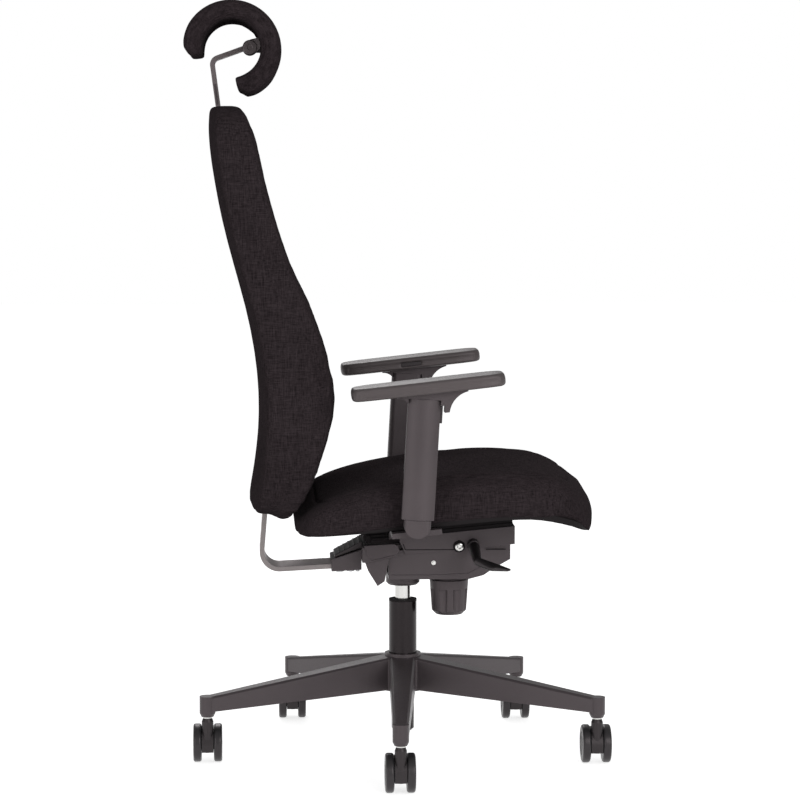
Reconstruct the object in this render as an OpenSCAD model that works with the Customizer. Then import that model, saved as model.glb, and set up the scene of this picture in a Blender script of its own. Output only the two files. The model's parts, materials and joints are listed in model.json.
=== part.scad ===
// Ergonomic office chair: five-star base on twin-wheel casters, gas column, synchronised tilt
// mechanism, sliding seat, height-adjustable backrest on a flat steel J-bar, C-shaped headrest
// and height-adjustable arms. +X is forward, +Y is the sitter's left, +Z is up. The origin lies
// on the floor, on the axis of the column.

/* [Casters] */
// Diameter of a caster wheel
wheel_d = 65; // [55:1:75]
// Width of one wheel of the pair
wheel_w = 14; // [11:1:16]
// Width of the hood between the two wheels
hood_w = 20; // [16:1:24]
// Distance from the swivel axis to the wheel axis
caster_trail = 18; // [12:1:24]
// Diameter of the caster stem
stem_d = 11; // [10:0.5:12]

/* [Star base] */
// Radius of the circle on which the caster stems stand
base_r = 348; // [310:5:380]
// Direction of the first leg, measured from +X
base_turn = 266.5; // [180:0.5:359]
// Height of the underside of the leg tips above the floor
tip_low = 81; // [80:1:92]
// Depth of a leg at its tip, boss included
tip_h = 35; // [30:1:45]
// Depth of a leg at the hub
root_h = 60; // [50:1:70]
// Rise of the hub's top above the leg tip's top
leg_rise = 58; // [48:1:64]
// Width of a leg at the hub
root_w = 46; // [38:1:52]
// Width of a leg at its tip
tip_w = 25; // [24:1:32]
// Thickness of the leg walls
leg_wall = 3.5; // [2.5:0.5:5]
// Width of the bevel along the leg's top edges
leg_bevel = 5; // [3:0.5:7]
// Cross ribs under each leg
leg_ribs = 5; // [2:1:7]
// Diameter of the hub
hub_d = 62; // [58:1:70]

/* [Gas column] */
// Outer diameter of the column tube
column_d = 48; // [44:1:50]
// Outer diameter of the tube's lower end, below the hub
column_low_d = 39; // [37:1:41]
// Height of the tube that shows above the hub
column_show = 94; // [80:1:120]
// How far the tube's lower end hangs below the hub
column_hang = 69; // [60:1:72]
// Wall of the column tube
column_wall = 2.5; // [2:0.5:3]
// Diameter of the gas cylinder
piston_d = 27; // [24:1:28]
// Length of the gas cylinder that shows at rest
piston_show = 25; // [24:1:60]
// Diameter of the piston rod
rod_d = 10; // [8:1:11]

/* [Tilt mechanism] */
// Length of the mechanism housing
housing_len = 208; // [200:1:220]
// Distance from the column axis to the housing's rear end
housing_rear = 28; // [26:1:30]
// Height of the housing from its floor to its highest edge
housing_h = 81; // [79:1:83]
// Width of the housing
housing_w = 143; // [136:1:150]
// Wall of the housing
housing_wall = 5.5; // [4:0.5:6.5]
// Distance of the seat pivot in front of the column axis
seat_pivot_x = 92; // [88:1:94]
// Height of the seat pivot above the collar's lower edge
seat_pivot_h = 75; // [73:1:77]
// Distance of the back pivot in front of the column axis
back_pivot_x = 49; // [46:1:52]
// Height of the back pivot above the collar's lower edge
back_pivot_h = 46; // [44:1:48]
// Distance of the tension screw in front of the column axis
knob_x = 80; // [78:1:84]
// Diameter of the tension knob at its top
knob_d = 67; // [54:1:68]
// Height of the tension knob
knob_h = 60; // [48:1:66]
// Distance of the height lever's shaft in front of the column axis
lever_x = 116; // [114:1:119]
// Reach of the height lever from the middle of the chair
lever_reach = 205; // [180:1:225]
// Reach of the tilt-lock lever from the middle of the chair
lock_reach = 205; // [180:1:225]

/* [Seat] */
// Slope of the seat, front edge up
seat_slope = 5.3; // [3:0.1:7]
// Length of the seat carrier behind the seat pivot
carrier_rear = 100; // [96:1:101]
// Length of the seat carrier in front of the seat pivot
carrier_front = 98; // [92:1:104]
// Height of the carrier's top above the seat pivot
carrier_h = 25; // [24:1:28]
// Thickness of the carrier's sheet
carrier_t = 3.5; // [3:0.5:4]
// Height of the seat's underside above the carrier's top
seat_lift = 33.5; // [32:0.5:38]
// Length of the seat cushion
seat_len = 502; // [480:1:540]
// Width of the seat cushion
seat_w = 480; // [440:1:520]
// Depth of the seat cushion at its thickest
seat_h = 94; // [84:1:104]
// Distance of the cushion's rear end behind the seat pivot
seat_rear = 277; // [268:1:278]
// How far the seat's front edge bends down
seat_fall = 49; // [40:1:58]
// Thickness of the seat pan
pan_t = 11; // [8:1:13]

/* [Backrest] */
// Height of the backrest
back_h = 683; // [640:1:720]
// Width of the backrest
back_w = 450; // [420:1:480]
// Depth of the backrest at the lumbar swell
back_depth = 128; // [110:1:135]
// Distance of the lumbar's rear face behind the column axis
back_set = 249; // [247:1:256]
// How far the rear face leans back from the lumbar to the top
back_lean = 80; // [74:1:90]
// Height of the backrest's lower edge above the collar's lower edge
back_rise = 140; // [134:1:150]
// How far the rear face bulges between its side edges
back_bulge = 13; // [8:1:16]
// How far the front face is hollowed between its side wings
back_dish = 24; // [14:1:28]
// Thickness of the rear cover's padded skin
cover_t = 8; // [7:1:10]
// Thickness of the backrest's inner shell
shell_t = 8; // [6:1:9]

/* [J-bar] */
// Width of the flat bar
bar_w = 78; // [70:1:84]
// Thickness of the flat bar
bar_t = 8; // [6:0.5:8]
// Inner radius of the bar's bend
bar_bend = 26; // [20:1:30]
// Slope of the bar's lower run
bar_slope = 2.9; // [1:0.1:5]
// Forward lean of the bar's upright
bar_lean = 4.6; // [4:0.1:5.5]
// Length of the upright from the bend's centre to its top
bar_up = 262; // [240:1:280]

/* [Headrest] */
// Outer radius of the headrest's C
head_r = 81; // [70:1:88]
// Thickness of the headrest's padding
head_t = 26; // [20:1:28]
// Width of the headrest
head_w = 290; // [250:1:320]
// Distance of the headrest's centre behind the column axis
head_set = 290; // [287:1:295]
// Height of the headrest's centre above the backrest's top
head_lift = 93.5; // [92:0.5:98]
// Width of the headrest's mast
mast_w = 55; // [45:1:62]
// Thickness of the headrest's mast
mast_t = 8; // [6:0.5:8]

/* [Arms] */
// Gap between the seat's side and the middle of the arm
arm_gap = 30; // [26:1:40]
// Length of the arm pad
pad_len = 252; // [220:1:280]
// Width of the arm pad
pad_w = 80; // [70:1:95]
// Thickness of the arm pad
pad_t = 23; // [18:1:26]
// Slope of the arm pad, front end up
pad_slope = 6.2; // [3:0.1:8]
// Length of the arm sleeve
sleeve_len = 198; // [180:1:215]
// Breadth of the arm sleeve along the chair
sleeve_w = 53; // [48:1:58]
// Thickness of the arm sleeve across the chair
sleeve_d = 34; // [30:1:38]
// Forward lean of the arm
arm_lean = 3.2; // [1:0.1:5]
// Height of the arm post's foot above the seat pivot
post_low = 41; // [40:1:44]
// Height of the post's foot that shows under the sleeve
post_show = 30; // [24:1:38]

/* [Hidden] */

// Five legs, as many as there are caster nodes
LEGS = 5;
// How far a cut runs past the face it opens
over = 1;
// Radial clearance of a pin or shaft that turns or slides in its bore
run_fit = 0.05;
// Clearance between neighbouring pieces that are seated on each other
seat_gap = 0.3;
// Clearance of a tapered seat
taper_fit = 0.1;
// Clearance between pieces that move past each other
move_gap = 2;

// Heights of the base and column
wheel_r = wheel_d / 2;
tip_top = tip_low + tip_h;
hub_top = tip_top + leg_rise;
hub_low = hub_top - root_h;
ring_h = 7;
ring_low = hub_low - ring_h;
column_top = hub_top + column_show;
column_low = ring_low - column_hang;
mech_z = column_top + piston_show;

// Colours
BLACK = [0.09, 0.09, 0.10];
PLASTIC = [0.26, 0.25, 0.26];
METAL = [0.45, 0.43, 0.43];
CHROME = [0.80, 0.80, 0.82];
FABRIC = [0.15, 0.13, 0.14];
PAD = [0.42, 0.40, 0.40];

// A smooth curve through evenly spaced shares, read at t from 0 to 1
function share_at(shares, i) = shares[max(0, min(len(shares) - 1, i))];
function smooth(a, b, c, d, f) =
    b + f * ((c - a) / 2 + f * (a - 2.5 * b + 2 * c - d / 2 + f * (1.5 * (b - c) + (d - a) / 2)));
function curve(shares, t) =
    let (s = max(0, min(1, t)) * (len(shares) - 1), i = min(floor(s), len(shares) - 2))
    smooth(share_at(shares, i - 1), share_at(shares, i), share_at(shares, i + 1),
        share_at(shares, i + 2), s - i);

// One point of a rounded rectangle that is a superellipse of half sizes a and b
function signed_pow(v, p) = sign(v) * pow(abs(v), p);
function rim_point(a, b, sharp, angle) =
    [a * signed_pow(cos(angle), 2 / sharp), b * signed_pow(sin(angle), 2 / sharp)];

// Triangles that join rings of n points, the first and last of which close on a centre point
function ring_faces(rings, n) = concat(
    [for (i = [0 : n - 1]) [0, 1 + (i + 1) % n, 1 + i]],
    [for (r = [0 : rings - 2], i = [0 : n - 1])
        let (p = 1 + r * n, q = 1 + (r + 1) * n) [p + i, p + (i + 1) % n, q + i]],
    [for (r = [0 : rings - 2], i = [0 : n - 1])
        let (p = 1 + r * n, q = 1 + (r + 1) * n) [p + (i + 1) % n, q + (i + 1) % n, q + i]],
    [for (i = [0 : n - 1])
        let (p = 1 + (rings - 1) * n) [p + i, p + (i + 1) % n, 1 + rings * n]]
);

// Placing helpers
module both_sides() {
    children();
    mirror([0, 1, 0]) children();
}
module flip(on) {
    if (on) mirror([0, 1, 0]) children();
    else children();
}
// A side outline drawn in X and Z, spread from y0 to y1
module spread(y0, y1) {
    translate([0, y1, 0]) rotate([90, 0, 0]) linear_extrude(y1 - y0) children();
}
// A cylinder along Y from y0 to y1
module cross_pin(r, y0, y1) {
    translate([0, y0, 0]) rotate([-90, 0, 0]) cylinder(r = r, h = y1 - y0, $fn = 48);
}
// A flat rounded rectangle centred on the origin, with true arcs at its corners
module round_rect(w, h, r) {
    square([w - 2 * r, h], center = true);
    square([w, h - 2 * r], center = true);
    for (x = [-1, 1], y = [-1, 1])
        translate([x * (w / 2 - r), y * (h / 2 - r)]) circle(r = r, $fn = 48);
}

// Casters
stem_r = stem_d / 2;
stem_in = 30;
collar_h = 2.6;
stem_collar_r = stem_r + 2.5;
hood_top = tip_low - collar_h - seat_gap;
neck_r = 10;
hood_r = wheel_r - 3;
hood_low = 20;
axle_r = 4;
wheel_gap = 0.5;
wheel_round = 4;
cap_r_share = 0.62;
cap_deep = 2;

function leg_angle(k) = base_turn + k * 360 / LEGS;
module at_caster(k) {
    translate([base_r * cos(leg_angle(k)), base_r * sin(leg_angle(k)), 0]) children();
}
module at_axle() {
    translate([0, caster_trail, wheel_r]) rotate([0, 90, 0]) children();
}

module caster_stems() {
    color(CHROME)
    for (k = [0 : LEGS - 1]) at_caster(k) {
        translate([0, 0, hood_top + seat_gap - stem_in]) cylinder(r = stem_r, h = stem_in, $fn = 48);
        translate([0, 0, hood_top + seat_gap]) cylinder(r = stem_collar_r, h = collar_h, $fn = 48);
        translate([0, 0, tip_low]) cylinder(r = stem_r, h = stem_in, $fn = 48);
    }
}

module caster_housing() {
    color(BLACK)
    difference() {
        union() {
            intersection() {
                at_axle() cylinder(r = hood_r, h = hood_w, center = true, $fn = 64);
                translate([-hood_w, caster_trail - wheel_d, hood_low])
                    cube([2 * hood_w, 2 * wheel_d, wheel_d]);
            }
            translate([0, 0, hood_low])
                cylinder(r = neck_r, h = hood_top - hood_low - stem_r, $fn = 48);
            translate([0, 0, hood_top - stem_r])
                cylinder(r1 = neck_r, r2 = stem_collar_r, h = stem_r, $fn = 48);
        }
        translate([0, 0, hood_top + seat_gap - stem_in - seat_gap])
            cylinder(r = stem_r + run_fit, h = stem_in + over, $fn = 48);
        at_axle() cylinder(r = axle_r + run_fit, h = hood_w + 2 * over, center = true, $fn = 48);
    }
}

module wheel() {
    rotate_extrude($fn = 72) difference() {
        union() {
            square([wheel_r - wheel_round, wheel_w]);
            translate([0, wheel_round]) square([wheel_r, wheel_w - 2 * wheel_round]);
            for (z = [wheel_round, wheel_w - wheel_round])
                translate([wheel_r - wheel_round, z]) circle(r = wheel_round, $fn = 32);
        }
        translate([2 * axle_r, wheel_w - cap_deep])
            square([wheel_r * cap_r_share - 2 * axle_r, cap_deep + over]);
    }
}

module caster_wheels() {
    color(BLACK) at_axle() {
        for (s = [0, 1]) mirror([0, 0, s]) translate([0, 0, hood_w / 2 + wheel_gap]) wheel();
        cylinder(r = axle_r, h = hood_w + 2 * wheel_w - cap_deep, center = true, $fn = 48);
    }
}

// Star base
boss_proud = 1;
tip_r = tip_w / 2 + boss_proud;
bevel_h = 6;
tip_under = 9;
spoke_in = hub_d / 2 + leg_wall;
spoke_out = base_r - tip_r - leg_wall;
leg_tuck = 0.6;
web_r = hub_d / 2 + 9;
web_drop = 8.5;
web_under = 3;
leg_pitch = atan(leg_rise / base_r);
leg_yaw = atan((root_w - tip_w) / 2 / base_r);
rib_share = 0.55;
column_r = column_d / 2;
column_low_r = column_low_d / 2;

module leg_side(inset, roof) {
    polygon([
        [0, hub_low + leg_tuck - inset], [base_r, tip_low + tip_under - inset],
        [base_r, tip_top - leg_tuck - roof], [0, hub_top - leg_tuck - roof]
    ]);
}
module leg_plan(inset) {
    polygon([
        [0, inset - root_w / 2], [base_r, inset - tip_w / 2],
        [base_r, tip_w / 2 - inset], [0, root_w / 2 - inset]
    ]);
}
module leg_block(inset, drop, roof) {
    intersection() {
        spread(-root_w, root_w) leg_side(drop, roof);
        linear_extrude(hub_top + over) leg_plan(inset);
    }
}
module leg_shell() {
    difference() {
        leg_block(0, 0, 0);
        intersection() {
            leg_block(leg_wall, over, leg_wall);
            translate([spoke_in, -root_w, 0]) cube([spoke_out - spoke_in, 2 * root_w, hub_top]);
        }
        both_sides() translate([0, root_w / 2, hub_top - leg_tuck]) rotate([0, leg_pitch, -leg_yaw])
            rotate([45, 0, 0]) cube([3 * base_r, leg_bevel, leg_bevel], center = true);
    }
    intersection() {
        leg_block(leg_wall / 2, -leg_wall, leg_wall / 2);
        union() {
            for (i = [1 : leg_ribs])
                translate([spoke_in + (spoke_out - spoke_in) * i / (leg_ribs + 1), -root_w, 0])
                    cube([leg_wall * rib_share, 2 * root_w, hub_top]);
        }
    }
}
module leg_tip() {
    translate([base_r, 0, tip_low + bevel_h]) cylinder(r = tip_r, h = tip_h - bevel_h, $fn = 48);
    translate([base_r, 0, tip_low])
        cylinder(r1 = tip_r - bevel_h / 2, r2 = tip_r, h = bevel_h, $fn = 48);
}

module star_base() {
    color(PLASTIC)
    difference() {
        union() {
            translate([0, 0, hub_low]) cylinder(r = hub_d / 2, h = root_h, $fn = 72);
            translate([0, 0, hub_low - web_under])
                cylinder(r = web_r, h = root_h + web_under - web_drop, $fn = 72);
            translate([0, 0, ring_low])
                cylinder(r = column_low_r + leg_wall + over, h = ring_h + over, $fn = 72);
            for (k = [0 : LEGS - 1]) rotate([0, 0, leg_angle(k)]) {
                leg_shell();
                leg_tip();
            }
        }
        translate([0, 0, ring_low - over])
            cylinder(r = column_low_r + taper_fit, h = ring_h + 2 * over, $fn = 72);
        translate([0, 0, hub_low])
            cylinder(r1 = column_low_r + taper_fit, r2 = column_r + taper_fit, h = root_h, $fn = 72);
        translate([0, 0, hub_top]) cylinder(r = column_r + taper_fit, h = over, $fn = 72);
        for (k = [0 : LEGS - 1]) at_caster(k) translate([0, 0, tip_low - over])
            cylinder(r = stem_r + run_fit, h = stem_in + 2 * over, $fn = 48);
    }
}

// Column
foot_t = 4;
foot_recess = 8;
foot_bevel = 4;
foot_top = column_low + foot_recess + foot_t;
guide_len = 62;
guide_rim = 3.5;
rod_r = rod_d / 2;
piston_r = piston_d / 2;
bearing_h = 8;
race_t = 2.2;
ball_r = (bearing_h - 2 * race_t) / 2 - run_fit;
ball_ring_r = rod_r + 5;
balls = 8;

module column_tube() {
    color(BLACK)
    rotate_extrude($fn = 96) difference() {
        polygon([
            [0, column_low], [column_low_r - foot_bevel, column_low],
            [column_low_r, column_low + foot_bevel], [column_low_r, hub_low],
            [column_r, hub_top], [column_r, column_top - guide_rim], [0, column_top - guide_rim]
        ]);
        polygon([
            [0, foot_top], [column_low_r - column_wall, foot_top],
            [column_low_r - column_wall, hub_low], [column_r - column_wall, hub_top],
            [column_r - column_wall, column_top + over], [0, column_top + over]
        ]);
        translate([0, column_low - over]) square([rod_r + run_fit, foot_top]);
        translate([0, column_low - over])
            square([column_low_r - foot_bevel - column_wall, foot_recess + over]);
    }
}
module column_guide() {
    color(BLACK)
    rotate_extrude($fn = 96) difference() {
        union() {
            translate([0, column_top - guide_len])
                square([column_r - column_wall - run_fit, guide_len]);
            translate([0, column_top - guide_rim]) square([column_r, guide_rim]);
        }
        translate([0, column_top - guide_len - over])
            square([piston_r + run_fit, guide_len + 2 * over]);
    }
}
module thrust_bearing() {
    color(METAL) translate([0, 0, foot_top]) {
        for (z = [0, bearing_h - race_t]) translate([0, 0, z]) difference() {
            cylinder(r = ball_ring_r + 2 * ball_r, h = race_t, $fn = 48);
            translate([0, 0, -over]) cylinder(r = rod_r + run_fit, h = race_t + 2 * over, $fn = 48);
        }
        for (i = [0 : balls - 1]) rotate([0, 0, i * 360 / balls])
            translate([ball_ring_r, 0, bearing_h / 2]) sphere(r = ball_r, $fn = 24);
    }
}
clip_t = 1.5;
clip_w = 3;
clip_gap = 0.5;
rod_tail = 4;
shoulder_h = 6;
piston_head_h = 12;
cylinder_len = 182;
cylinder_low = column_top - cylinder_len;
cylinder_wall = 2;
cylinder_cap = 10;
cylinder_up = 56;
cylinder_top = mech_z + cylinder_up;
rod_top_share = 0.45;
piston_z = cylinder_low + cylinder_cap + (cylinder_top - cylinder_low) * rod_top_share;

module gas_rod() {
    color(CHROME) {
        translate([0, 0, column_low + foot_recess - clip_gap - clip_t - rod_tail])
            cylinder(r = rod_r, h = piston_z - column_low - foot_recess + clip_gap + clip_t + rod_tail,
                $fn = 48);
        translate([0, 0, foot_top + bearing_h + run_fit])
            cylinder(r = rod_r + clip_w, h = shoulder_h, $fn = 48);
        translate([0, 0, piston_z])
            cylinder(r = piston_r - cylinder_wall - run_fit, h = piston_head_h, $fn = 48);
    }
}
module rod_clip() {
    color(METAL) translate([0, 0, column_low + foot_recess - clip_gap - clip_t]) difference() {
        cylinder(r = rod_r + clip_w, h = clip_t, $fn = 48);
        translate([0, 0, -over]) cylinder(r = rod_r + run_fit, h = clip_t + 2 * over, $fn = 48);
    }
}

// Gas cylinder and its release
button_r = 4;
button_show = 7;
button_in = 20;
valve_h = 24;
press_travel = 4;

module gas_cylinder() {
    color(CHROME) rotate_extrude($fn = 96) difference() {
        translate([0, cylinder_low]) square([piston_r, cylinder_top - cylinder_low]);
        translate([0, cylinder_low - over]) square([rod_r + run_fit, cylinder_cap + 2 * over]);
        translate([0, cylinder_low + cylinder_cap])
            square([piston_r - cylinder_wall, cylinder_top - cylinder_low - cylinder_cap - valve_h]);
        translate([0, cylinder_top - button_in - press_travel])
            square([button_r + run_fit, button_in + press_travel + over]);
    }
}
module release_button() {
    color(METAL) translate([0, 0, cylinder_top - button_in])
        cylinder(r = button_r, h = button_in + button_show, $fn = 48);
}

// Levers and the slide that presses the button
lever_r = 10;
shaft_r = 6;
lever_up = 3;
lever_z = mech_z + seat_pivot_h + lever_up;
slide_t = 4;
slide_w = 14;
slide_y = -38;
slide_z = cylinder_top + button_show + seat_gap;
ramp_h = 6;
fork_gap = 0.6;
crank_tip_r = 3;
crank_w = 6;

module release_slide() {
    strip_rear = -button_r - 2 * ramp_h;
    color(METAL) {
        difference() {
            translate([strip_rear, slide_y, slide_z])
                cube([lever_x + crank_r - strip_rear, slide_w, slide_t]);
            translate([lever_x, slide_y + slide_w / 2, slide_z + slide_t / 2])
                cube([2 * (crank_tip_r + fork_gap), crank_w + 2 * fork_gap, slide_t + 2 * over],
                    center = true);
        }
        spread(slide_y, button_r) polygon([
            [button_r, slide_z], [-button_r, slide_z], [-button_r - ramp_h, slide_z - ramp_h],
            [strip_rear, slide_z - ramp_h], [strip_rear, slide_z + slide_t],
            [button_r, slide_z + slide_t]
        ]);
    }
}

// Housing: an open tray with a socket for the gas cylinder
collar_drop = 18;
collar_bevel = 4;
collar_r = 29;
socket_r = piston_r + 8;
socket_short = 3;
bolt_r = 6;
pin_r = 4;
screw_r = 5;
tray_z = mech_z + collar_drop;
seat_pivot_z = mech_z + seat_pivot_h;
back_pivot_z = mech_z + back_pivot_h;
tray_shares = [
    [0, 0], [0.66, 0], [0.78, 0.08], [0.86, 0.22], [1, 0.42], [1, 1], [0.577, 0.9], [0, 0.56]
];
tray_rear = -housing_rear;
wall_in = housing_w / 2 - housing_wall;
lock_x = 10;
lock_z = tray_z + 17;
lock_shaft_r = 6;
arm_side_gap = 4;
arm_half = wall_in - arm_side_gap;
arm_t = 12;

module tray_outline() {
    translate([tray_rear, tray_z]) polygon([for (p = tray_shares) [p[0] * housing_len, p[1] * housing_h]]);
}
module tray_hollow() {
    translate([tray_rear, tray_z]) polygon([
        [-over, housing_wall],
        [tray_shares[1][0] * housing_len, tray_shares[1][1] * housing_h + housing_wall],
        [tray_shares[3][0] * housing_len - housing_wall, tray_shares[3][1] * housing_h + housing_wall],
        [housing_len - housing_wall, tray_shares[4][1] * housing_h + housing_wall],
        [housing_len - housing_wall, housing_h + over],
        [-over, housing_h + over]
    ]);
}
module at_seat_pivot() {
    translate([seat_pivot_x, 0, seat_pivot_z]) rotate([0, -seat_slope, 0]) children();
}
module at_back_pivot() {
    translate([back_pivot_x, 0, back_pivot_z]) children();
}

module mechanism_housing() {
    color(PLASTIC)
    difference() {
        union() {
            difference() {
                spread(-housing_w / 2, housing_w / 2) tray_outline();
                spread(-wall_in, wall_in) tray_hollow();
            }
            translate([0, 0, mech_z + collar_bevel])
                cylinder(r = collar_r, h = collar_drop - collar_bevel + over, $fn = 72);
            translate([0, 0, mech_z])
                cylinder(r1 = collar_r - collar_bevel, r2 = collar_r, h = collar_bevel, $fn = 72);
            translate([0, 0, mech_z + collar_drop])
                cylinder(r = socket_r, h = cylinder_up - collar_drop - socket_short, $fn = 72);
            translate([knob_x, 0, tray_z]) cylinder(r = 2 * screw_r, h = 2 * housing_wall, $fn = 48);
        }
        translate([0, 0, mech_z - over])
            cylinder(r = piston_r + run_fit, h = cylinder_up + 2 * over, $fn = 96);
        translate([seat_pivot_x, 0, seat_pivot_z])
            cross_pin(bolt_r + run_fit, -housing_w, housing_w);
        at_back_pivot() cross_pin(pin_r + run_fit, -housing_w, housing_w);
        translate([lever_x, 0, lever_z]) cross_pin(shaft_r + run_fit, -housing_w, 0);
        translate([lock_x, 0, lock_z]) cross_pin(lock_shaft_r + run_fit, 0, housing_w);
        translate([knob_x, 0, tray_z - housing_h])
            cylinder(r = screw_r + run_fit, h = 2 * housing_h, $fn = 48);
    }
}

// Seat pivot: a bolt at each side, with its nut inside the housing
flange_y = housing_w / 2 + 1;
carrier_y = flange_y + carrier_t;
head_bolt_r = 7;
head_bolt_t = 4;
bolt_nut_r = 9;
bolt_nut_t = 5;
ring_t = 1.5;
module pivot_axle() {
    color(CHROME) translate([seat_pivot_x, 0, seat_pivot_z]) both_sides() {
        cross_pin(bolt_nut_r, wall_in - bolt_nut_t, wall_in - run_fit);
        cross_pin(bolt_r, wall_in - bolt_nut_t - over, carrier_y + ring_t);
        cross_pin(head_bolt_r, carrier_y + ring_t, carrier_y + ring_t + head_bolt_t);
    }
}
pin_end_share = 0.62;
module pivot_pin() {
    color(CHROME) at_back_pivot() {
        cross_pin(pin_r, -housing_w / 2 + ring_t, housing_w / 2 - ring_t);
        cross_pin(pin_r * pin_end_share, -housing_w / 2 - ring_t / 3, housing_w / 2 + ring_t / 3);
    }
}

// Tension screw, its spring and its knob
cross_low = -13;
cross_h = 14;
nut_r = 17;
nut_t = 5;
spring_r = 16;
spring_wire = 4;
knob_top = mech_z + 8;
knob_low_share = 0.89;
knob_dome = 7;
knob_gap = 1;
knob_flutes = 8;
flute_r = 9;
flute_in = 6.5;
spring_low = back_pivot_z + cross_low + cross_h + seat_gap;
nut_drop = 7;
nut_low = seat_pivot_z + carrier_h - carrier_t - nut_t - nut_drop;

module tilt_spring() {
    color(METAL) translate([knob_x, 0, spring_low]) difference() {
        cylinder(r = spring_r, h = nut_low - spring_low - seat_gap, $fn = 48);
        translate([0, 0, -over]) cylinder(r = spring_r - spring_wire, h = housing_h, $fn = 48);
    }
}
module tension_knob() {
    knob_low = knob_top - knob_h;
    low_r = knob_d / 2 * knob_low_share;
    color(PLASTIC) translate([knob_x, 0, 0]) {
        difference() {
            union() {
                translate([0, 0, knob_low + knob_dome])
                    cylinder(r1 = low_r, r2 = knob_d / 2, h = knob_h - knob_dome, $fn = 72);
                translate([0, 0, knob_low])
                    cylinder(r1 = low_r - knob_dome, r2 = low_r, h = knob_dome, $fn = 72);
            }
            for (i = [0 : knob_flutes - 1]) rotate([0, 0, (i + 0.5) * 360 / knob_flutes])
                translate([knob_d / 2 + flute_r - flute_in, 0, knob_low - over])
                    cylinder(r = flute_r, h = knob_h - 2 * knob_dome, $fn = 48);
        }
        translate([0, 0, knob_top])
            cylinder(r = screw_r, h = nut_low + nut_t - knob_top, $fn = 48);
        translate([0, 0, nut_low]) cylinder(r = nut_r, h = nut_t, $fn = 6);
        translate([0, 0, knob_top])
            cylinder(r = knob_d / 2 - knob_dome, h = tray_z - knob_top - knob_gap, $fn = 72);
    }
}

// Height lever on the right and tilt-lock lever on the left
neck_drop = 15;
leaf_t = 7;
leaf_w = 30;
leaf_len = 48;
leaf_fall = 13;
leaf_mid = 0.55;
leaf_dip = 0.7;
leaf_flat = 0.4;
hub_out = 92;
crank_r = lever_z - slide_z - slide_t / 2;
module height_lever() {
    leaf_y = -lever_reach + leaf_w;
    color(BLACK) translate([lever_x, 0, lever_z]) {
        cross_pin(shaft_r, -hub_out, slide_y + slide_w - fork_gap);
        cross_pin(lever_r, -hub_out - lever_r, -carrier_y - move_gap);
        hull() {
            translate([0, -hub_out, 0]) sphere(r = lever_r, $fn = 24);
            translate([0, leaf_y, -neck_drop]) sphere(r = leaf_t, $fn = 24);
        }
        hull() {
            translate([0, leaf_y, -neck_drop]) sphere(r = leaf_t, $fn = 24);
            translate([leaf_len * leaf_mid, leaf_y - leaf_w / 3, -neck_drop - leaf_fall * leaf_dip])
                scale([1, 1, leaf_flat]) sphere(r = leaf_w / 2, $fn = 24);
        }
        hull() {
            translate([leaf_len * leaf_mid, leaf_y - leaf_w / 3, -neck_drop - leaf_fall * leaf_dip])
                scale([1, 1, leaf_flat]) sphere(r = leaf_w / 2, $fn = 24);
            translate([leaf_len, leaf_y - leaf_w / 3, -neck_drop - leaf_fall])
                scale([1, 1, leaf_flat]) sphere(r = leaf_t, $fn = 24);
        }
        spread(slide_y + (slide_w - crank_w) / 2, slide_y + (slide_w + crank_w) / 2) {
            translate([0, -crank_r]) circle(r = crank_tip_r, $fn = 32);
            translate([-crank_tip_r, -crank_r]) square([2 * crank_tip_r, crank_r]);
        }
    }
}
lock_hub_r = 9;
lock_back = 76;
lock_leaf = 48;
lock_fall = 20;
lock_wide = 1.35;
module lock_lever() {
    out = lock_reach - leaf_w;
    color(BLACK) translate([lock_x, 0, lock_z]) {
        cross_pin(lock_shaft_r, arm_half + move_gap, hub_out);
        cross_pin(lock_hub_r, housing_w / 2 + seat_gap, hub_out + lock_hub_r);
        hull() {
            translate([0, hub_out + lock_hub_r, 0]) sphere(r = lock_hub_r, $fn = 24);
            translate([-lock_back, out, move_gap]) sphere(r = leaf_t, $fn = 24);
        }
        hull() {
            translate([-lock_back, out, move_gap]) sphere(r = leaf_t, $fn = 24);
            translate([-lock_back - lock_leaf, out, -lock_fall])
                scale([1, lock_wide, 1 / 2]) sphere(r = leaf_t, $fn = 24);
            translate([-lock_back - lock_leaf / 2, out + leaf_w / 4, -lock_fall / 3])
                scale([1, lock_wide, 1 / 2]) sphere(r = leaf_t * lock_wide, $fn = 24);
        }
    }
}

// Seat carrier: a sheet channel over the housing
flange_drop = 5.5;
flange_cut = 8.5;
ring_r = 10.5;
bracket_rear = 118;
bracket_len = 82;
bracket_t = 10;
bracket_bolt_y = 30;
bracket_bolt_r = 4;
bolt_in = 16;
module carrier_side() {
    polygon([
        [-carrier_rear, carrier_h], [-carrier_rear, carrier_h - flange_cut],
        [flange_cut - carrier_rear, -flange_drop], [carrier_front - flange_cut / 3, -flange_drop],
        [carrier_front, carrier_h]
    ]);
    circle(r = ring_r, $fn = 48);
}
module bracket_bolts() {
    for (s = [-1, 1], u = [bolt_in - bracket_rear, bracket_len - bolt_in - bracket_rear])
        translate([u, s * bracket_bolt_y, 0]) children();
}
module seat_carrier() {
    color(PLASTIC) at_seat_pivot() difference() {
        spread(-carrier_y, carrier_y) carrier_side();
        spread(-flange_y, flange_y) polygon([
            [-carrier_rear - over, -carrier_h], [carrier_front - carrier_t, -carrier_h],
            [carrier_front - carrier_t, carrier_h - carrier_t],
            [-carrier_rear - over, carrier_h - carrier_t]
        ]);
        cross_pin(bolt_r + run_fit, -housing_w, housing_w);
        rotate([0, seat_slope, 0]) translate([lever_x - seat_pivot_x, 0, lever_up])
            cross_pin(shaft_r + 2 * move_gap, -housing_w, 0);
        bracket_bolts() cylinder(r = bracket_bolt_r + run_fit, h = 2 * carrier_h, $fn = 32);
    }
}

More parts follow.
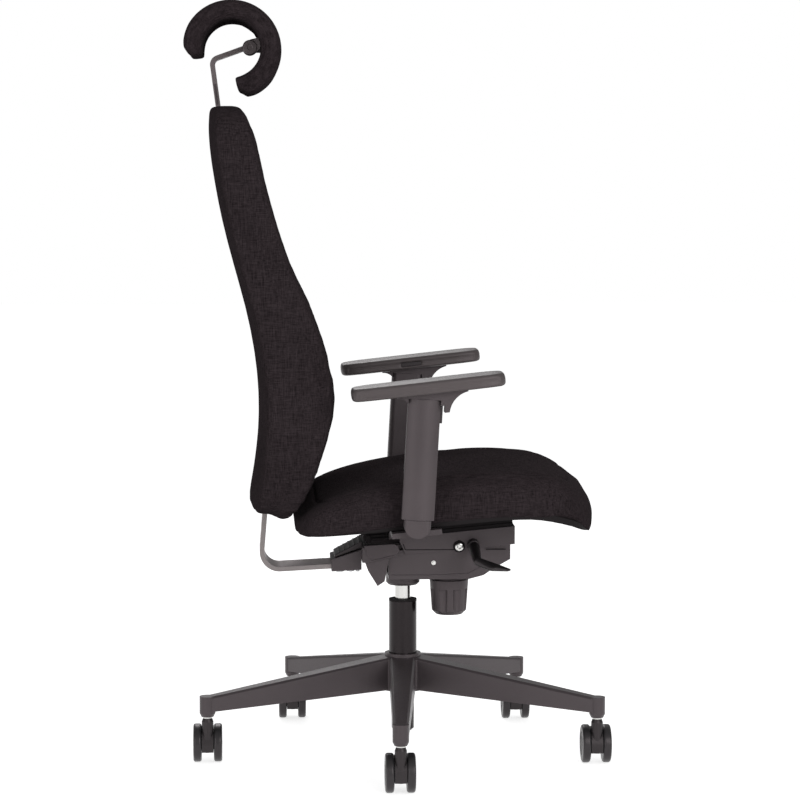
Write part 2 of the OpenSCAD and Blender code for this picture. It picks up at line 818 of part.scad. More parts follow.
// Slide rails on the carrier, notched over the arm brackets
rail_in = 50;
rail_w = 24;
rail_rear = 155;
rail_h = 21;
rail_front = 3;
rib_h = 3;
rib_in = 2;
stop_t = 6;
stop_h = 15;
seat_low = carrier_h + seat_lift;
module seat_rails() {
    color(BLACK) at_seat_pivot() both_sides() translate([0, rail_in, carrier_h]) difference() {
        union() {
            translate([-rail_rear, 0, 0])
                cube([rail_rear + carrier_front - rail_front, rail_w, rail_h]);
            translate([-rail_rear - stop_t, 0, 0]) cube([stop_t + over, rail_w, stop_h]);
        }
        translate([-bracket_rear - seat_gap, -over, -over])
            cube([bracket_len + 2 * seat_gap, rail_w + 2 * over, bracket_t + over + seat_gap]);
        for (i = [0 : 2]) translate([-rail_rear - over, rail_w - rib_in, rib_h * (2 * i + 1)])
            cube([rail_rear - bracket_rear - rib_h, rib_in + over, rib_h]);
        translate([bracket_len - bracket_rear + rib_h, rail_w - rib_in, 2 * rib_h])
            cube([rail_rear + carrier_front, rib_in + over, 2 * rib_h]);
    }
}

// Arm brackets: castings bolted on the carrier that rise outward to the arm posts
post_d = sleeve_d - 6;
arm_y = seat_w / 2 + arm_gap;
bracket_end = arm_y - post_d / 2;
bracket_in = 12;
bracket_flat = 88;
bracket_knee = 205;
bracket_rise = 23;
module arm_bracket() {
    color(PLASTIC) at_seat_pivot() difference() {
        translate([-bracket_rear, 0, carrier_h]) rotate([90, 0, 90]) linear_extrude(bracket_len)
            polygon([
                [bracket_in, 0], [bracket_flat, 0],
                [bracket_knee, bracket_rise], [bracket_end, bracket_rise],
                [bracket_end, bracket_rise + bracket_t - over],
                [bracket_knee, bracket_rise + bracket_t - over],
                [bracket_flat, bracket_t], [bracket_in, bracket_t]
            ]);
        bracket_bolts() cylinder(r = bracket_bolt_r + run_fit, h = 3 * carrier_h, $fn = 32);
    }
}
head_share = 1.7;
module arm_bolts() {
    color(METAL) at_seat_pivot() bracket_bolts() {
        translate([0, 0, carrier_h + bracket_t])
            cylinder(r = head_share * bracket_bolt_r, h = bracket_bolt_r, $fn = 6);
        translate([0, 0, carrier_h - 2 * bracket_bolt_r])
            cylinder(r = bracket_bolt_r, h = bracket_t + 2 * bracket_bolt_r + over, $fn = 32);
        translate([0, 0, carrier_h - carrier_t - bracket_bolt_r])
            cylinder(r = head_share * bracket_bolt_r, h = bracket_bolt_r, $fn = 6);
    }
}

// Seat pan and cushion, drawn in the seat's sloped frame, s being the share of the seat's length
pan_inset = 6;
pan_sharp = 5;
pan_rear_share = 0.02;
pan_front_share = 0.985;
pan_steps = 28;
shoe_in = 47;
shoe_rear = 105;
shoe_len = 150;
shoe_low = 15;
seat_top_shares = [0.46, 0.65, 0.793, 0.883, 0.93, 0.952, 0.949, 0.917, 0.841, 0.716, 0.215];
seat_under_shares = [0.05, 0.02, 0, 0, 0, 0, 0, 0.02, 0.12, 0.44, 0.94];
seat_crown = 3;
seat_dip = 6;
seat_sharp = 4.2;
seat_nose = 1.4;
seat_tail = 2;
seat_round = 0.12;
seat_end_share = 0.35;
seat_rest = 0.9;
seat_levels = 26;
seat_ring_shares = [
    [0.93, 0], [0.985, 0.06], [1, 0.24], [1, 0.42], [0.985, 0.58], [0.945, 0.73], [0.86, 0.835],
    [0.72, 0.85], [0.5, 0.88], [0.25, 0.92], [0, 0.96]
];
crown_from = 0.86;
level_trim = 0.035;

function seat_u(s) = s * seat_len - seat_rear;
function seat_under(s) = seat_low - seat_fall * curve(seat_under_shares, s);
function seat_top(s) = seat_low + seat_h * curve(seat_top_shares, s);
function seat_half(s) =
    let (q = abs(2 * s - 1), k = s > 0.5 ? seat_nose : seat_tail)
    seat_w / 2 * pow(max(0, 1 - pow(q, seat_sharp * k)), 1 / seat_sharp);
function seat_pad(s) = seat_under(s) + pan_t + seat_rest;
function level_share(i, n) = (1 - cos(180 * (level_trim + (1 - 2 * level_trim) * i / n))) / 2;

module pan_outline() {
    half = seat_len / 2;
    translate([seat_u(0.5), 0]) polygon([for (a = [0 : 360 / 64 : 359])
        rim_point(half - pan_inset, seat_w / 2 - pan_inset, pan_sharp, a)]);
}
module seat_pan() {
    shares = [for (i = [0 : pan_steps])
        pan_rear_share + (pan_front_share - pan_rear_share) * i / pan_steps];
    color(BLACK) at_seat_pivot() {
        intersection() {
            spread(-seat_w, seat_w) polygon(concat(
                [for (s = shares) [seat_u(s), seat_under(s)]],
                [for (i = [pan_steps : -1 : 0]) [seat_u(shares[i]), seat_under(shares[i]) + pan_t]]
            ));
            linear_extrude(2 * seat_low + seat_h, center = true) pan_outline();
        }
        both_sides() translate([-shoe_rear, 0, carrier_h + shoe_low]) difference() {
            translate([0, shoe_in, 0])
                cube([shoe_len, rail_w + 2 * (rail_in - shoe_in), seat_lift - shoe_low + over]);
            translate([-over, rail_in - 2 * seat_gap, -over])
                cube([shoe_len + 2 * over, rail_w + 4 * seat_gap, rail_h - shoe_low + over + seat_gap]);
        }
    }
}

// A solid through equal rings, one per level, closed by a flat end at each end
function loft_faces(levels, n) = concat(
    [[for (i = [0 : n - 1]) i]],
    [for (k = [0 : levels - 2], i = [0 : n - 1]) [k * n + i, (k + 1) * n + i, k * n + (i + 1) % n]],
    [for (k = [0 : levels - 2], i = [0 : n - 1])
        [k * n + (i + 1) % n, (k + 1) * n + i, (k + 1) * n + (i + 1) % n]],
    [[for (i = [n - 1 : -1 : 0]) (levels - 1) * n + i]]
);
function both_halves(half) = concat(
    [for (p = half) [-p[0], p[1]]],
    [for (i = [len(half) - 1 : -1 : 0]) if (half[i][0] > 0) half[i]]
);

function seat_end(s) = sqrt(max(0, 1 - pow(max(0, 1 - s / seat_round), 2)));
function seat_point(s, p) =
    let (low = seat_pad(s), end = seat_end_share + (1 - seat_end_share) * seat_end(s),
        rise = (seat_top(s) - low) * end, c = 1 - p[0] * p[0],
        crown = p[1] > crown_from ? seat_crown * c - seat_dip * c * c * (1 - s) : 0)
    [seat_u(s), p[0] * seat_half(s), low + p[1] * rise + crown];
module seat_cushion() {
    ring = both_halves(seat_ring_shares);
    n = len(ring);
    points = [for (k = [0 : seat_levels], p = ring) seat_point(level_share(k, seat_levels), p)];
    color(FABRIC) at_seat_pivot() polyhedron(points, loft_faces(seat_levels + 1, n));
}

// Back carrier: cheeks beside the housing, arms inside it, a rear web and a front crossbar
cheek_in = housing_w / 2 + 1;
cheek_t = 12.5;
lug_t = 6.5;
cheek_out = cheek_in + cheek_t;
lug_out = cheek_in + lug_t;
web_t = 11;
web_rear = 122;
web_low = 3;
web_top = 31;
cheek_front = 62.5;
pivot_boss_r = 13;
cross_rear = 16;
cross_front = 48;
cross_top = cross_low + cross_h;
slot_r = screw_r + 5;
lug_points = [[-122, 15], [-112, -12], [-96, -38], [-84, -30], [-77, 6], [-77, 14]];
arm_foot = 5;
module back_carrier() {
    color(PLASTIC) at_back_pivot() difference() {
        union() {
            both_sides() {
                spread(cheek_in, cheek_out) polygon([
                    [-web_rear + web_low, web_top], [-web_rear + web_t, web_low],
                    [-cheek_front, web_low + web_t], [-cheek_front, web_top],
                    [-cheek_front - web_t, web_top + web_low]
                ]);
                spread(cheek_in, lug_out) polygon(lug_points);
                spread(arm_half - arm_t, arm_half) {
                    polygon([
                        [-web_rear + web_t, web_low], [-web_rear + 4 * web_t, web_t],
                        [-pivot_boss_r, over - pivot_boss_r], [pivot_boss_r, over - pivot_boss_r],
                        [cross_front, cross_low], [cross_front, cross_top],
                        [pivot_boss_r, pivot_boss_r], [arm_foot - cheek_front, web_top],
                        [-web_rear + web_t, web_top]
                    ]);
                    circle(r = pivot_boss_r, $fn = 48);
                }
            }
            spread(-cheek_out, cheek_out) polygon([
                [-web_rear, web_low], [-web_rear + web_t, web_low],
                [-web_rear + web_t, web_top], [-web_rear, web_top - web_low]
            ]);
            translate([cross_rear, -arm_half, cross_low])
                cube([cross_front - cross_rear, 2 * arm_half, cross_h]);
        }
        cross_pin(pin_r + run_fit, -housing_w, housing_w);
        translate([knob_x - back_pivot_x, 0, -housing_h])
            cylinder(r = slot_r, h = 2 * housing_h, $fn = 48);
    }
}

// Outline of a flat bar of a given thickness that follows a path
function heading(a, b) = (b - a) / norm(b - a);
function path_normal(path, i) =
    let (n = len(path) - 1, back = heading(path[max(0, i - 1)], path[max(1, i)]),
        ahead = heading(path[min(n - 1, i)], path[min(n, i + 1)]), way = heading([0, 0], back + ahead))
    [-way[1], way[0]] / (way * back);
function strip_outline(path, t) = concat(
    [for (i = [0 : len(path) - 1]) path[i] + path_normal(path, i) * t / 2],
    [for (i = [len(path) - 1 : -1 : 0]) path[i] - path_normal(path, i) * t / 2]
);
function arc_path(r, from, to, steps) =
    [for (i = [0 : steps]) let (a = from + (to - from) * i / steps) r * [cos(a), sin(a)]];

// J-bar, drawn from the centre of its bend
bar_set = 36;
bar_cx = bar_set - back_set;
bar_rise = 62.5;
bar_cz = mech_z + bar_rise;
bar_run = 138;
bar_out = bar_bend + bar_t;
bar_hold = 46;
module at_bar() {
    translate([bar_cx, 0, bar_cz]) children();
}
bar_mid = bar_bend + bar_t / 2;
bend_steps = 28;
function turned(p, a) = [p[0] * cos(a) - p[1] * sin(a), p[0] * sin(a) + p[1] * cos(a)];
bar_path = concat(
    [turned([bar_run, -bar_mid], bar_slope)],
    arc_path(bar_mid, bar_slope - 90, -180 - bar_lean, bend_steps),
    [turned([-bar_mid, bar_up], -bar_lean)]
);
module bar_outline(gap) {
    polygon(strip_outline(bar_path, bar_t + 2 * gap));
}
bolt_y = 22;
bar_bolt_r = 4;
bolt_pitch = 18;
bar_bolt_x = [bar_run - 2 * bolt_pitch, bar_run - bolt_pitch];
clamp_reach = 51;
clamp_low = 4;
clamp_high = 8;
clamp_top = 25;
module at_bar_bolts() {
    at_bar() rotate([0, -bar_slope, 0]) for (x = bar_bolt_x, y = [-bolt_y, bolt_y])
        translate([x, y, -bar_out]) children();
}
module back_bar() {
    color(METAL) difference() {
        at_bar() spread(-bar_w / 2, bar_w / 2) bar_outline(0);
        at_bar_bolts() translate([0, 0, -over])
            cylinder(r = bar_bolt_r + run_fit, h = bar_t + 2 * over, $fn = 32);
    }
}
module bar_clamp() {
    web_x = back_pivot_x - web_rear;
    color(PLASTIC) difference() {
        intersection() {
            at_bar() rotate([0, -bar_slope, 0]) spread(-bar_hold, bar_hold) polygon([
                [bar_run - clamp_reach, -bar_out - clamp_low],
                [bar_run + web_t, -bar_out - clamp_low],
                [bar_run + web_t, -bar_bend + clamp_top],
                [bar_run - clamp_reach, -bar_bend + clamp_high]
            ]);
            translate([web_x - housing_len, -cheek_out, 0])
                cube([housing_len, 2 * cheek_out, 2 * mech_z]);
        }
        at_bar() spread(-bar_w / 2 - run_fit, bar_w / 2 + run_fit) bar_outline(run_fit);
        at_bar_bolts() translate([0, 0, -housing_h / 2])
            cylinder(r = bar_bolt_r + run_fit, h = housing_h, $fn = 32);
    }
}
module bar_bolts() {
    color(METAL) at_bar_bolts() translate([0, 0, -clamp_low]) {
        cylinder(r = bar_bolt_r, h = clamp_low + bar_t + clamp_high, $fn = 32);
        translate([0, 0, -bar_bolt_r]) cylinder(r = head_share * bar_bolt_r, h = bar_bolt_r, $fn = 32);
    }
}

// Backrest: t is the share of its height, from the lower edge
back_z = mech_z + back_rise;
back_rear_shares = [0.225, 0.085, -0.01, -0.01, 0.085, 0.26, 0.49, 0.71, 0.88, 1, 1.03];
back_depth_shares = [0.61, 0.787, 0.927, 1, 0.956, 0.87, 0.76, 0.708, 0.66, 0.62, 0.55];
back_levels = 26;
back_sharp = 7;
back_round = 0.065;
back_end_share = 0.36;
back_toe = 13;
toe_share = 0.15;
dish_share = 0.9;
split_base = 15.7;
split_share = 0.288;
pocket_fill = 0.93;
shell_fill = 0.90;
wall_fill = 0.86;
cushion_shares = [
    [1, 0], [0.985, 0.4], [1, 0.74], [0.975, 0.92], [0.90, 1], [0.70, 1], [0.46, 1], [0.22, 1], [0, 1]
];
cover_shares = [[1, 1], [0.99, 0.5], [1, 0.16], [0.97, 0], [0.80, 0], [0.55, 0], [0.28, 0], [0, 0]];

function back_height(t) = back_z + t * back_h;
function back_rear(t) = -back_set - back_lean * curve(back_rear_shares, t);
function back_deep(t) = back_depth * curve(back_depth_shares, t);
function back_split(t) = back_rear(t) + split_base + split_share * back_deep(t);
function back_half(t) =
    let (q = abs(2 * t - 1)) back_w / 2 * pow(max(0, 1 - pow(q, 2 * back_sharp)), 1 / back_sharp);
function back_end(t) = sqrt(max(0, 1 - pow(max(0, 1 - min(t, 1 - t) / back_round), 2)));
function back_front(t, y) =
    back_rear(t) + back_deep(t) - back_dish * (1 - y * y / (dish_share * dish_share));
function back_fall(t) = back_toe * max(0, 1 - t / toe_share);
function cushion_point(t, p) =
    let (x0 = back_split(t), x1 = max(x0 + cover_t, back_front(t, p[0])),
        e = back_end_share + (1 - back_end_share) * back_end(t))
    [x0 + seat_gap + p[1] * (x1 - x0) * e, p[0] * back_half(t), back_height(t) - p[1] * back_fall(t)];
function cover_point(t, p) =
    let (x1 = back_split(t) - seat_gap,
        x0 = back_rear(t) + back_bulge * p[0] * p[0] + cover_t / 2 * (1 - back_end(t)))
    [x0 + p[1] * (x1 - x0), p[0] * back_half(t), back_height(t)];

module back_loft(points, n) {
    polyhedron(points, loft_faces(back_levels + 1, n));
}
module back_cushion() {
    ring = both_halves(cushion_shares);
    points = [for (k = [0 : back_levels], p = ring) cushion_point(level_share(k, back_levels), p)];
    color(FABRIC) back_loft(points, len(ring));
}
module back_block(fill) {
    translate([-2 * back_set, 0, back_height(0.5)]) rotate([90, 0, 90]) linear_extrude(2 * back_set)
        polygon([for (a = [0 : 360 / 48 : 359])
            rim_point(fill * back_w / 2, fill * back_h / 2, back_sharp, a)]);
}
// A slab of the backrest between two depths, cut to a share of its outline
module back_slab(fill, rear_in, front_in) {
    shares = [for (k = [0 : back_levels]) level_share(k, back_levels)];
    intersection() {
        spread(-back_w, back_w) polygon(concat(
            [for (t = shares) [back_split(t) - rear_in, back_height(t)]],
            [for (i = [back_levels : -1 : 0])
                [back_split(shares[i]) - front_in, back_height(shares[i])]]
        ));
        back_block(fill);
    }
}
module back_pocket() {
    shares = [for (k = [0 : back_levels]) level_share(k, back_levels)];
    intersection() {
        spread(-back_w, back_w) polygon(concat(
            [for (t = shares)
                [back_rear(t) + cover_t + back_bulge * wall_fill * wall_fill, back_height(t)]],
            [for (i = [back_levels : -1 : 0]) [back_split(shares[i]) + over, back_height(shares[i])]]
        ));
        back_block(pocket_fill);
    }
}
module back_shell() {
    color(BLACK) back_slab(shell_fill, shell_t + 2 * seat_gap, 2 * seat_gap);
}
module back_cover() {
    ring = both_halves(cover_shares);
    points = [for (k = [0 : back_levels], p = ring) cover_point(level_share(k, back_levels), p)];
    color(FABRIC) difference() {
        back_loft(points, len(ring));
        back_pocket();
        at_bar() spread(-bar_w / 2 - move_gap, bar_w / 2 + move_gap) bar_outline(move_gap);
        at_mast() spread(-mast_w / 2 - move_gap, mast_w / 2 + move_gap)
            translate([-mast_t / 2 - move_gap / 2, -mast_in]) square([mast_t + move_gap, 3 * mast_in]);
        bar_guide_block(seat_gap);
        headrest_guide_block(seat_gap);
    }
}
guide_side = 6;
guide_back = 3;
guide_from = 110;
guide_to = 190;
guide_fit = 0.4;
module bar_guide_block(gap) {
    half = bar_w / 2 + guide_side + gap;
    at_bar() rotate([0, bar_lean, 0])
        translate([-bar_out - guide_fit - guide_back - gap, -half, guide_from - gap])
        cube([back_depth / 2, 2 * half, guide_to - guide_from + 2 * gap]);
}
module bar_guide() {
    color(BLACK) difference() {
        bar_guide_block(0);
        at_bar() spread(-bar_w / 2 - guide_fit, bar_w / 2 + guide_fit) bar_outline(guide_fit);
        back_slab(1, shell_t + 2 * seat_gap, -back_depth);
    }
}

// Headrest mast, drawn from where it leaves the backrest
mast_lean = 7.5;
mast_rear = 14.5;
mast_x = mast_rear - back_set - back_lean;
mast_z = back_z + back_h;
mast_in = 82;
mast_up = 77;
head_x = -head_set;
head_z = mast_z + head_lift;
core_t = 4;
head_in = head_r - head_t - core_t;
hinge_x = head_x + 30;
hinge_z = head_z + 6;
knuckle_r = 10;
knuckle_w = 50;
hinge_pin_r = 4;
ear_t = 6;
ear_gap = 0.6;
slot_h = 36;
slot_w_share = 0.5;
guide_low = 78;
guide_high = 30;
module at_mast() {
    translate([mast_x, 0, mast_z]) rotate([0, -mast_lean, 0]) children();
}
function mast_point(z) = [mast_x - z * sin(mast_lean), mast_z + z * cos(mast_lean)];
mast_elbow = mast_point(mast_up);
elbow_r = 12;
elbow_steps = 10;
mast_tip = [hinge_x, hinge_z];
mast_way = heading(mast_elbow, mast_tip);
mast_from = heading(mast_elbow, mast_point(0));
elbow_half = acos(mast_way * mast_from) / 2;
elbow_hub = mast_elbow + heading([0, 0], mast_way + mast_from) * elbow_r / sin(elbow_half);
elbow_turn = 90 - elbow_half;
elbow_mid = atan2(mast_elbow[1] - elbow_hub[1], mast_elbow[0] - elbow_hub[0]);
mast_path = concat(
    [mast_point(-mast_in)],
    [for (p = arc_path(elbow_r, elbow_mid + elbow_turn, elbow_mid - elbow_turn, elbow_steps))
        elbow_hub + p],
    [mast_tip]
);
module headrest_bar() {
    color(METAL) difference() {
        spread(-mast_w / 2, mast_w / 2) difference() {
            polygon(strip_outline(mast_path, mast_t));
            translate(mast_tip) circle(r = knuckle_r + run_fit, $fn = 48);
        }
        at_mast() translate([0, -mast_w * slot_w_share / 2, -mast_in / 2])
            translate([-mast_t, 0, 0]) cube([2 * mast_t, mast_w * slot_w_share, mast_in / 2 + slot_h]);
    }
}
module headrest_knuckle() {
    color(BLACK) translate([hinge_x, 0, hinge_z]) difference() {
        cross_pin(knuckle_r, -knuckle_w / 2, knuckle_w / 2);
        cross_pin(hinge_pin_r + run_fit, -knuckle_w, knuckle_w);
    }
}
module headrest_guide_block(gap) {
    half = mast_w / 2 + guide_side + gap;
    at_mast() translate([-mast_t / 2 - guide_fit - guide_back / 2 - gap, -half, -guide_low - gap])
        cube([back_depth / 2, 2 * half, guide_low - guide_high + 2 * gap]);
}
module headrest_guide() {
    color(BLACK) difference() {
        headrest_guide_block(0);
        at_mast() translate([-mast_t / 2 - guide_fit, -mast_w / 2 - guide_fit, -2 * mast_in])
            cube([mast_t + 2 * guide_fit, mast_w + 2 * guide_fit, 3 * mast_in]);
        back_slab(1, shell_t + 2 * seat_gap, -back_depth);
    }
}

// Headrest: a core and its padding, both a C that is open at the lower rear
c_from = -83;
c_to = 188;
c_levels = 30;
c_end_share = 0.6;
core_short = 5;
core_share = 0.93;
end_taper = 0.03;
pad_shares = [
    [0.93, 0], [1, 0.3], [0.985, 0.6], [0.96, 0.86], [0.88, 0.98], [0.6, 1], [0.3, 1], [0, 1]
];
module at_head() {
    translate([head_x, 0, head_z]) children();
}
function c_angle(k) = c_from + (c_to - c_from) * k / c_levels;
function c_end(k) =
    let (q = 1 - min(1, min(k, c_levels - k) / 2)) c_end_share + (1 - c_end_share) * sqrt(1 - q * q);
function c_point(k, p) =
    let (a = c_angle(k), e = c_end(k), r = head_in + core_t + seat_gap + p[1] * (head_t - seat_gap) * e)
    [r * cos(a), p[0] * head_w / 2 * (1 - end_taper * (1 - e)), r * sin(a)];
module headrest_pad() {
    ring = both_halves(pad_shares);
    points = [for (k = [0 : c_levels], p = ring) c_point(k, p)];
    color(FABRIC) at_head() polyhedron(points, loft_faces(c_levels + 1, len(ring)));
}
module sector(from, to, r) {
    polygon(concat([[0, 0]], arc_path(r, from, to, 8)));
}
module headrest_core() {
    half = head_w / 2 * core_share;
    ear_in = knuckle_w / 2 + ear_gap;
    color(BLACK) difference() {
        union() {
            at_head() spread(-half, half) intersection() {
                difference() {
                    circle(r = head_in + core_t, $fn = 96);
                    circle(r = head_in, $fn = 96);
                }
                sector(c_from + core_short, c_to - core_short, 2 * head_r);
            }
            both_sides() spread(ear_in, ear_in + ear_t) difference() {
                union() {
                    translate([hinge_x, hinge_z]) circle(r = knuckle_r, $fn = 48);
                    translate([hinge_x, hinge_z - knuckle_r])
                        square([head_in - (hinge_x - head_x), 2 * knuckle_r]);
                }
                translate([head_x, head_z]) difference() {
                    circle(r = 2 * head_r, $fn = 96);
                    circle(r = head_in + core_t / 2, $fn = 96);
                }
            }
        }
        translate([hinge_x, 0, hinge_z]) cross_pin(hinge_pin_r + run_fit, -head_w, head_w);
    }
}
module headrest_pin() {
    reach = knuckle_w / 2 + ear_gap + ear_t;
    color(METAL) translate([hinge_x, 0, hinge_z]) {
        cross_pin(hinge_pin_r, -reach, reach);
        both_sides() cross_pin(head_share * hinge_pin_r, reach, reach + hinge_pin_r / 2);
    }
}

// Arms, drawn on the left side and flipped for the right
arm_x = 8.5;
arm_z = seat_pivot_z + post_low;
post_w = sleeve_w - 9;
core_w = sleeve_w - 12;
core_d = sleeve_d - 11;
sleeve_fit = 0.3;
sleeve_gap = 0.5;
face_r = 46;
trigger_h = 28;
trigger_w = 12;
trigger_from = 160;
core_len = trigger_from - 6;
trigger_out = 4;
trigger_deep = 13;
module at_arm() {
    translate([arm_x, arm_y, arm_z]) rotate([0, arm_lean, 0]) children();
}
module arm_post() {
    color(PLASTIC) at_arm() {
        intersection() {
            linear_extrude(post_show) round_rect(post_w, post_d, post_d / 4);
            spread(-post_d, post_d) {
                translate([0, post_w / 2]) circle(r = post_w / 2, $fn = 64);
                translate([-post_w / 2, post_w / 2]) square([post_w, post_w]);
            }
        }
        translate([0, 0, post_show]) linear_extrude(core_len) round_rect(core_w, core_d, core_d / 5);
    }
}
module sleeve_outline() {
    intersection() {
        round_rect(sleeve_w, sleeve_d, sleeve_d / 4);
        translate([0, sleeve_d / 2 - face_r]) circle(r = face_r, $fn = 96);
    }
}
trigger_z = post_show + sleeve_gap + trigger_from;
module arm_sleeve() {
    color(PLASTIC) at_arm() difference() {
        translate([0, 0, post_show + sleeve_gap]) linear_extrude(sleeve_len) sleeve_outline();
        translate([0, 0, post_show]) linear_extrude(core_len + move_gap)
            round_rect(core_w + 2 * sleeve_fit, core_d + 2 * sleeve_fit, core_d / 5);
        translate([sleeve_w / 2 - trigger_deep, -trigger_w / 2 - sleeve_fit, trigger_z - sleeve_fit])
            cube([trigger_deep + over, trigger_w + 2 * sleeve_fit, trigger_h + 2 * sleeve_fit]);
    }
}
module arm_trigger() {
    color(BLACK) at_arm()
        translate([sleeve_w / 2 - trigger_deep + trigger_out + sleeve_fit, -trigger_w / 2, trigger_z])
        cube([trigger_deep - sleeve_fit, trigger_w, trigger_h]);
}

// Pad base and pad, in the pad's sloped frame
base_front = 72;
base_rear = 44;
base_deep = 34;
base_w = 30;
base_curve = 40;
base_lift = 9;
base_top = 3;
base_wing = 5;
wing_in = 4;
pad_ahead = 8;
pad_gap = 0.3;
pad_sharp = 6;
pad_steps = 48;
pad_ring_shares = [
    [0.90, 0], [0.985, 0.1], [1, 0.3], [1, 0.58], [0.975, 0.8], [0.93, 0.91], [0.6, 0.98]
];
button_len = 36;
button_h = 6;
button_up = 6;
button_deep = 8;
button_out = 1.5;
button_travel = 1.2;
module at_pad() {
    at_arm() translate([0, 0, post_show + sleeve_gap + sleeve_len]) rotate([0, -arm_lean - pad_slope, 0])
        translate([0, 0, base_lift]) children();
}
module pad_base() {
    color(PLASTIC) difference() {
        at_pad() spread(-base_w / 2, base_w / 2) difference() {
            translate([-base_rear, -base_deep]) square([base_rear + base_front, base_deep]);
            translate([base_front + base_wing, -base_curve - base_top]) circle(r = base_curve, $fn = 96);
            translate([-base_rear, -base_curve / 2 - base_top]) circle(r = base_curve / 2, $fn = 96);
            translate([-base_rear - over, -base_deep - over])
                square([base_rear - sleeve_w / 2 + wing_in + over, base_deep / 2]);
        }
        at_arm() translate([0, 0, post_show]) linear_extrude(sleeve_gap + sleeve_len)
            square([sleeve_w + 2 * run_fit, 2 * sleeve_d], center = true);
        at_arm() translate([sleeve_w / 2 - over, -base_w, 0])
            cube([trigger_out + 2 * move_gap, 2 * base_w, post_show + trigger_from + trigger_h + move_gap]);
    }
}
function pad_point(p, a) =
    let (q = rim_point(pad_len / 2, pad_w / 2, pad_sharp, a))
    [q[0] * (1 - (1 - p[0]) * pad_w / pad_len), q[1] * p[0], pad_gap + p[1] * pad_t];
module arm_pad() {
    n = pad_steps;
    rings = len(pad_ring_shares);
    points = concat(
        [[0, 0, pad_gap]],
        [for (p = pad_ring_shares, i = [0 : n - 1]) pad_point(p, 360 * (i + 0.5) / n)],
        [[0, 0, pad_gap + pad_t]]
    );
    color(PAD) at_pad() translate([pad_ahead, 0, 0]) difference() {
        polyhedron(points, ring_faces(rings, n));
        translate([-button_len / 2 - sleeve_fit, -pad_w / 2 - over, pad_gap + button_up - sleeve_fit])
            cube([button_len + 2 * sleeve_fit, button_deep + over, button_h + 2 * sleeve_fit]);
    }
}
module pad_button() {
    color(BLACK) at_pad() translate([pad_ahead - button_len / 2, -pad_w / 2 + button_out, pad_gap + button_up])
        cube([button_len, button_deep - button_out - button_travel - sleeve_fit, button_h]);
}

star_base();
caster_stems();
column_tube();
column_guide();
thrust_bearing();
gas_rod();
rod_clip();
gas_cylinder();
release_button();
release_slide();
mechanism_housing();
pivot_axle();
pivot_pin();
tilt_spring();
tension_knob();
height_lever();
lock_lever();
seat_carrier();
seat_rails();
arm_bracket();  // arm_bracket_left
flip(true) arm_bracket();  // arm_bracket_right
arm_bolts();
arm_post();  // arm_post_left
flip(true) arm_post();  // arm_post_right
seat_pan();
seat_cushion();
back_carrier();
bar_clamp();
back_bar();
bar_bolts();
back_shell();
back_cushion();
back_cover();
bar_guide();
headrest_guide();
headrest_bar();
headrest_knuckle();
headrest_core();
headrest_pin();
headrest_pad();
arm_sleeve();  // arm_sleeve_left
arm_trigger();  // arm_trigger_left
pad_base();  // pad_base_left
arm_pad();  // arm_pad_left
pad_button();  // pad_button_left
flip(true) arm_sleeve();  // arm_sleeve_right
flip(true) arm_trigger();  // arm_trigger_right
flip(true) pad_base();  // pad_base_right
flip(true) arm_pad();  // arm_pad_right
flip(true) pad_button();  // pad_button_right
at_caster(0) caster_housing();  // caster_1_housing
at_caster(0) caster_wheels();  // caster_1_wheels
at_caster(1) caster_housing();  // caster_2_housing
at_caster(1) caster_wheels();  // caster_2_wheels
at_caster(2) caster_housing();  // caster_3_housing
at_caster(2) caster_wheels();  // caster_3_wheels
at_caster(3) caster_housing();  // caster_4_housing
at_caster(3) caster_wheels();  // caster_4_wheels
at_caster(4) caster_housing();  // caster_5_housing
at_caster(4) caster_wheels();  // caster_5_wheels
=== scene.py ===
import json
import math

import bmesh
import bpy
from mathutils import Matrix, Vector, kdtree
from mathutils.bvhtree import BVHTree

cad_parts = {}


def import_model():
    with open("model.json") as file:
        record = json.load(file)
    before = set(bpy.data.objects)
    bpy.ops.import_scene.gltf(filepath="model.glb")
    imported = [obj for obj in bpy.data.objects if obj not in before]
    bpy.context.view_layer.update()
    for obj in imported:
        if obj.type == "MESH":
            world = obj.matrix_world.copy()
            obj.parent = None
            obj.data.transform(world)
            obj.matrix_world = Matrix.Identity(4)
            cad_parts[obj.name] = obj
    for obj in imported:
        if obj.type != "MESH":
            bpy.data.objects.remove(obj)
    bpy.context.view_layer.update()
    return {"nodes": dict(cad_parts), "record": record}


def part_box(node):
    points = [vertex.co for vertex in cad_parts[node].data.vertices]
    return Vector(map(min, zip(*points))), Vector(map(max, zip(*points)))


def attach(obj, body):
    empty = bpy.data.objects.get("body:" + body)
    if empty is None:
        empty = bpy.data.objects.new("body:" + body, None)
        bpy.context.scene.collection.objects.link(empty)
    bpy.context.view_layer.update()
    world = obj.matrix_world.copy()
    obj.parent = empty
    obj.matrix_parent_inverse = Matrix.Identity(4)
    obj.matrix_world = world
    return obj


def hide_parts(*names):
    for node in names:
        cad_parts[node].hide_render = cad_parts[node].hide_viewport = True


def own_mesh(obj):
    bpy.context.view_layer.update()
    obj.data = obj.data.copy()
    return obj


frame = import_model()
scene = bpy.context.scene

MM = 0.001
UP = Vector((0, 0, 1))
DOWN = Vector((0, 0, -1))
FORWARD = Vector((1, 0, 0))
SIDES = (("left", 1), ("right", -1))
SHARP_ANGLE = math.radians(38)
WELD = 1e-5
TURN_STEPS = 48

# Places of the CAD that its nodes' boxes don't give, in metres
SEAT_SLOPE = math.radians(5.3)
SEAT_PIVOT = Vector((0.092, 0, 0.368))
PAD_SLOPE = math.radians(6.2)
HEAD_CENTRE = Vector((-0.290, 0, 1.2095))


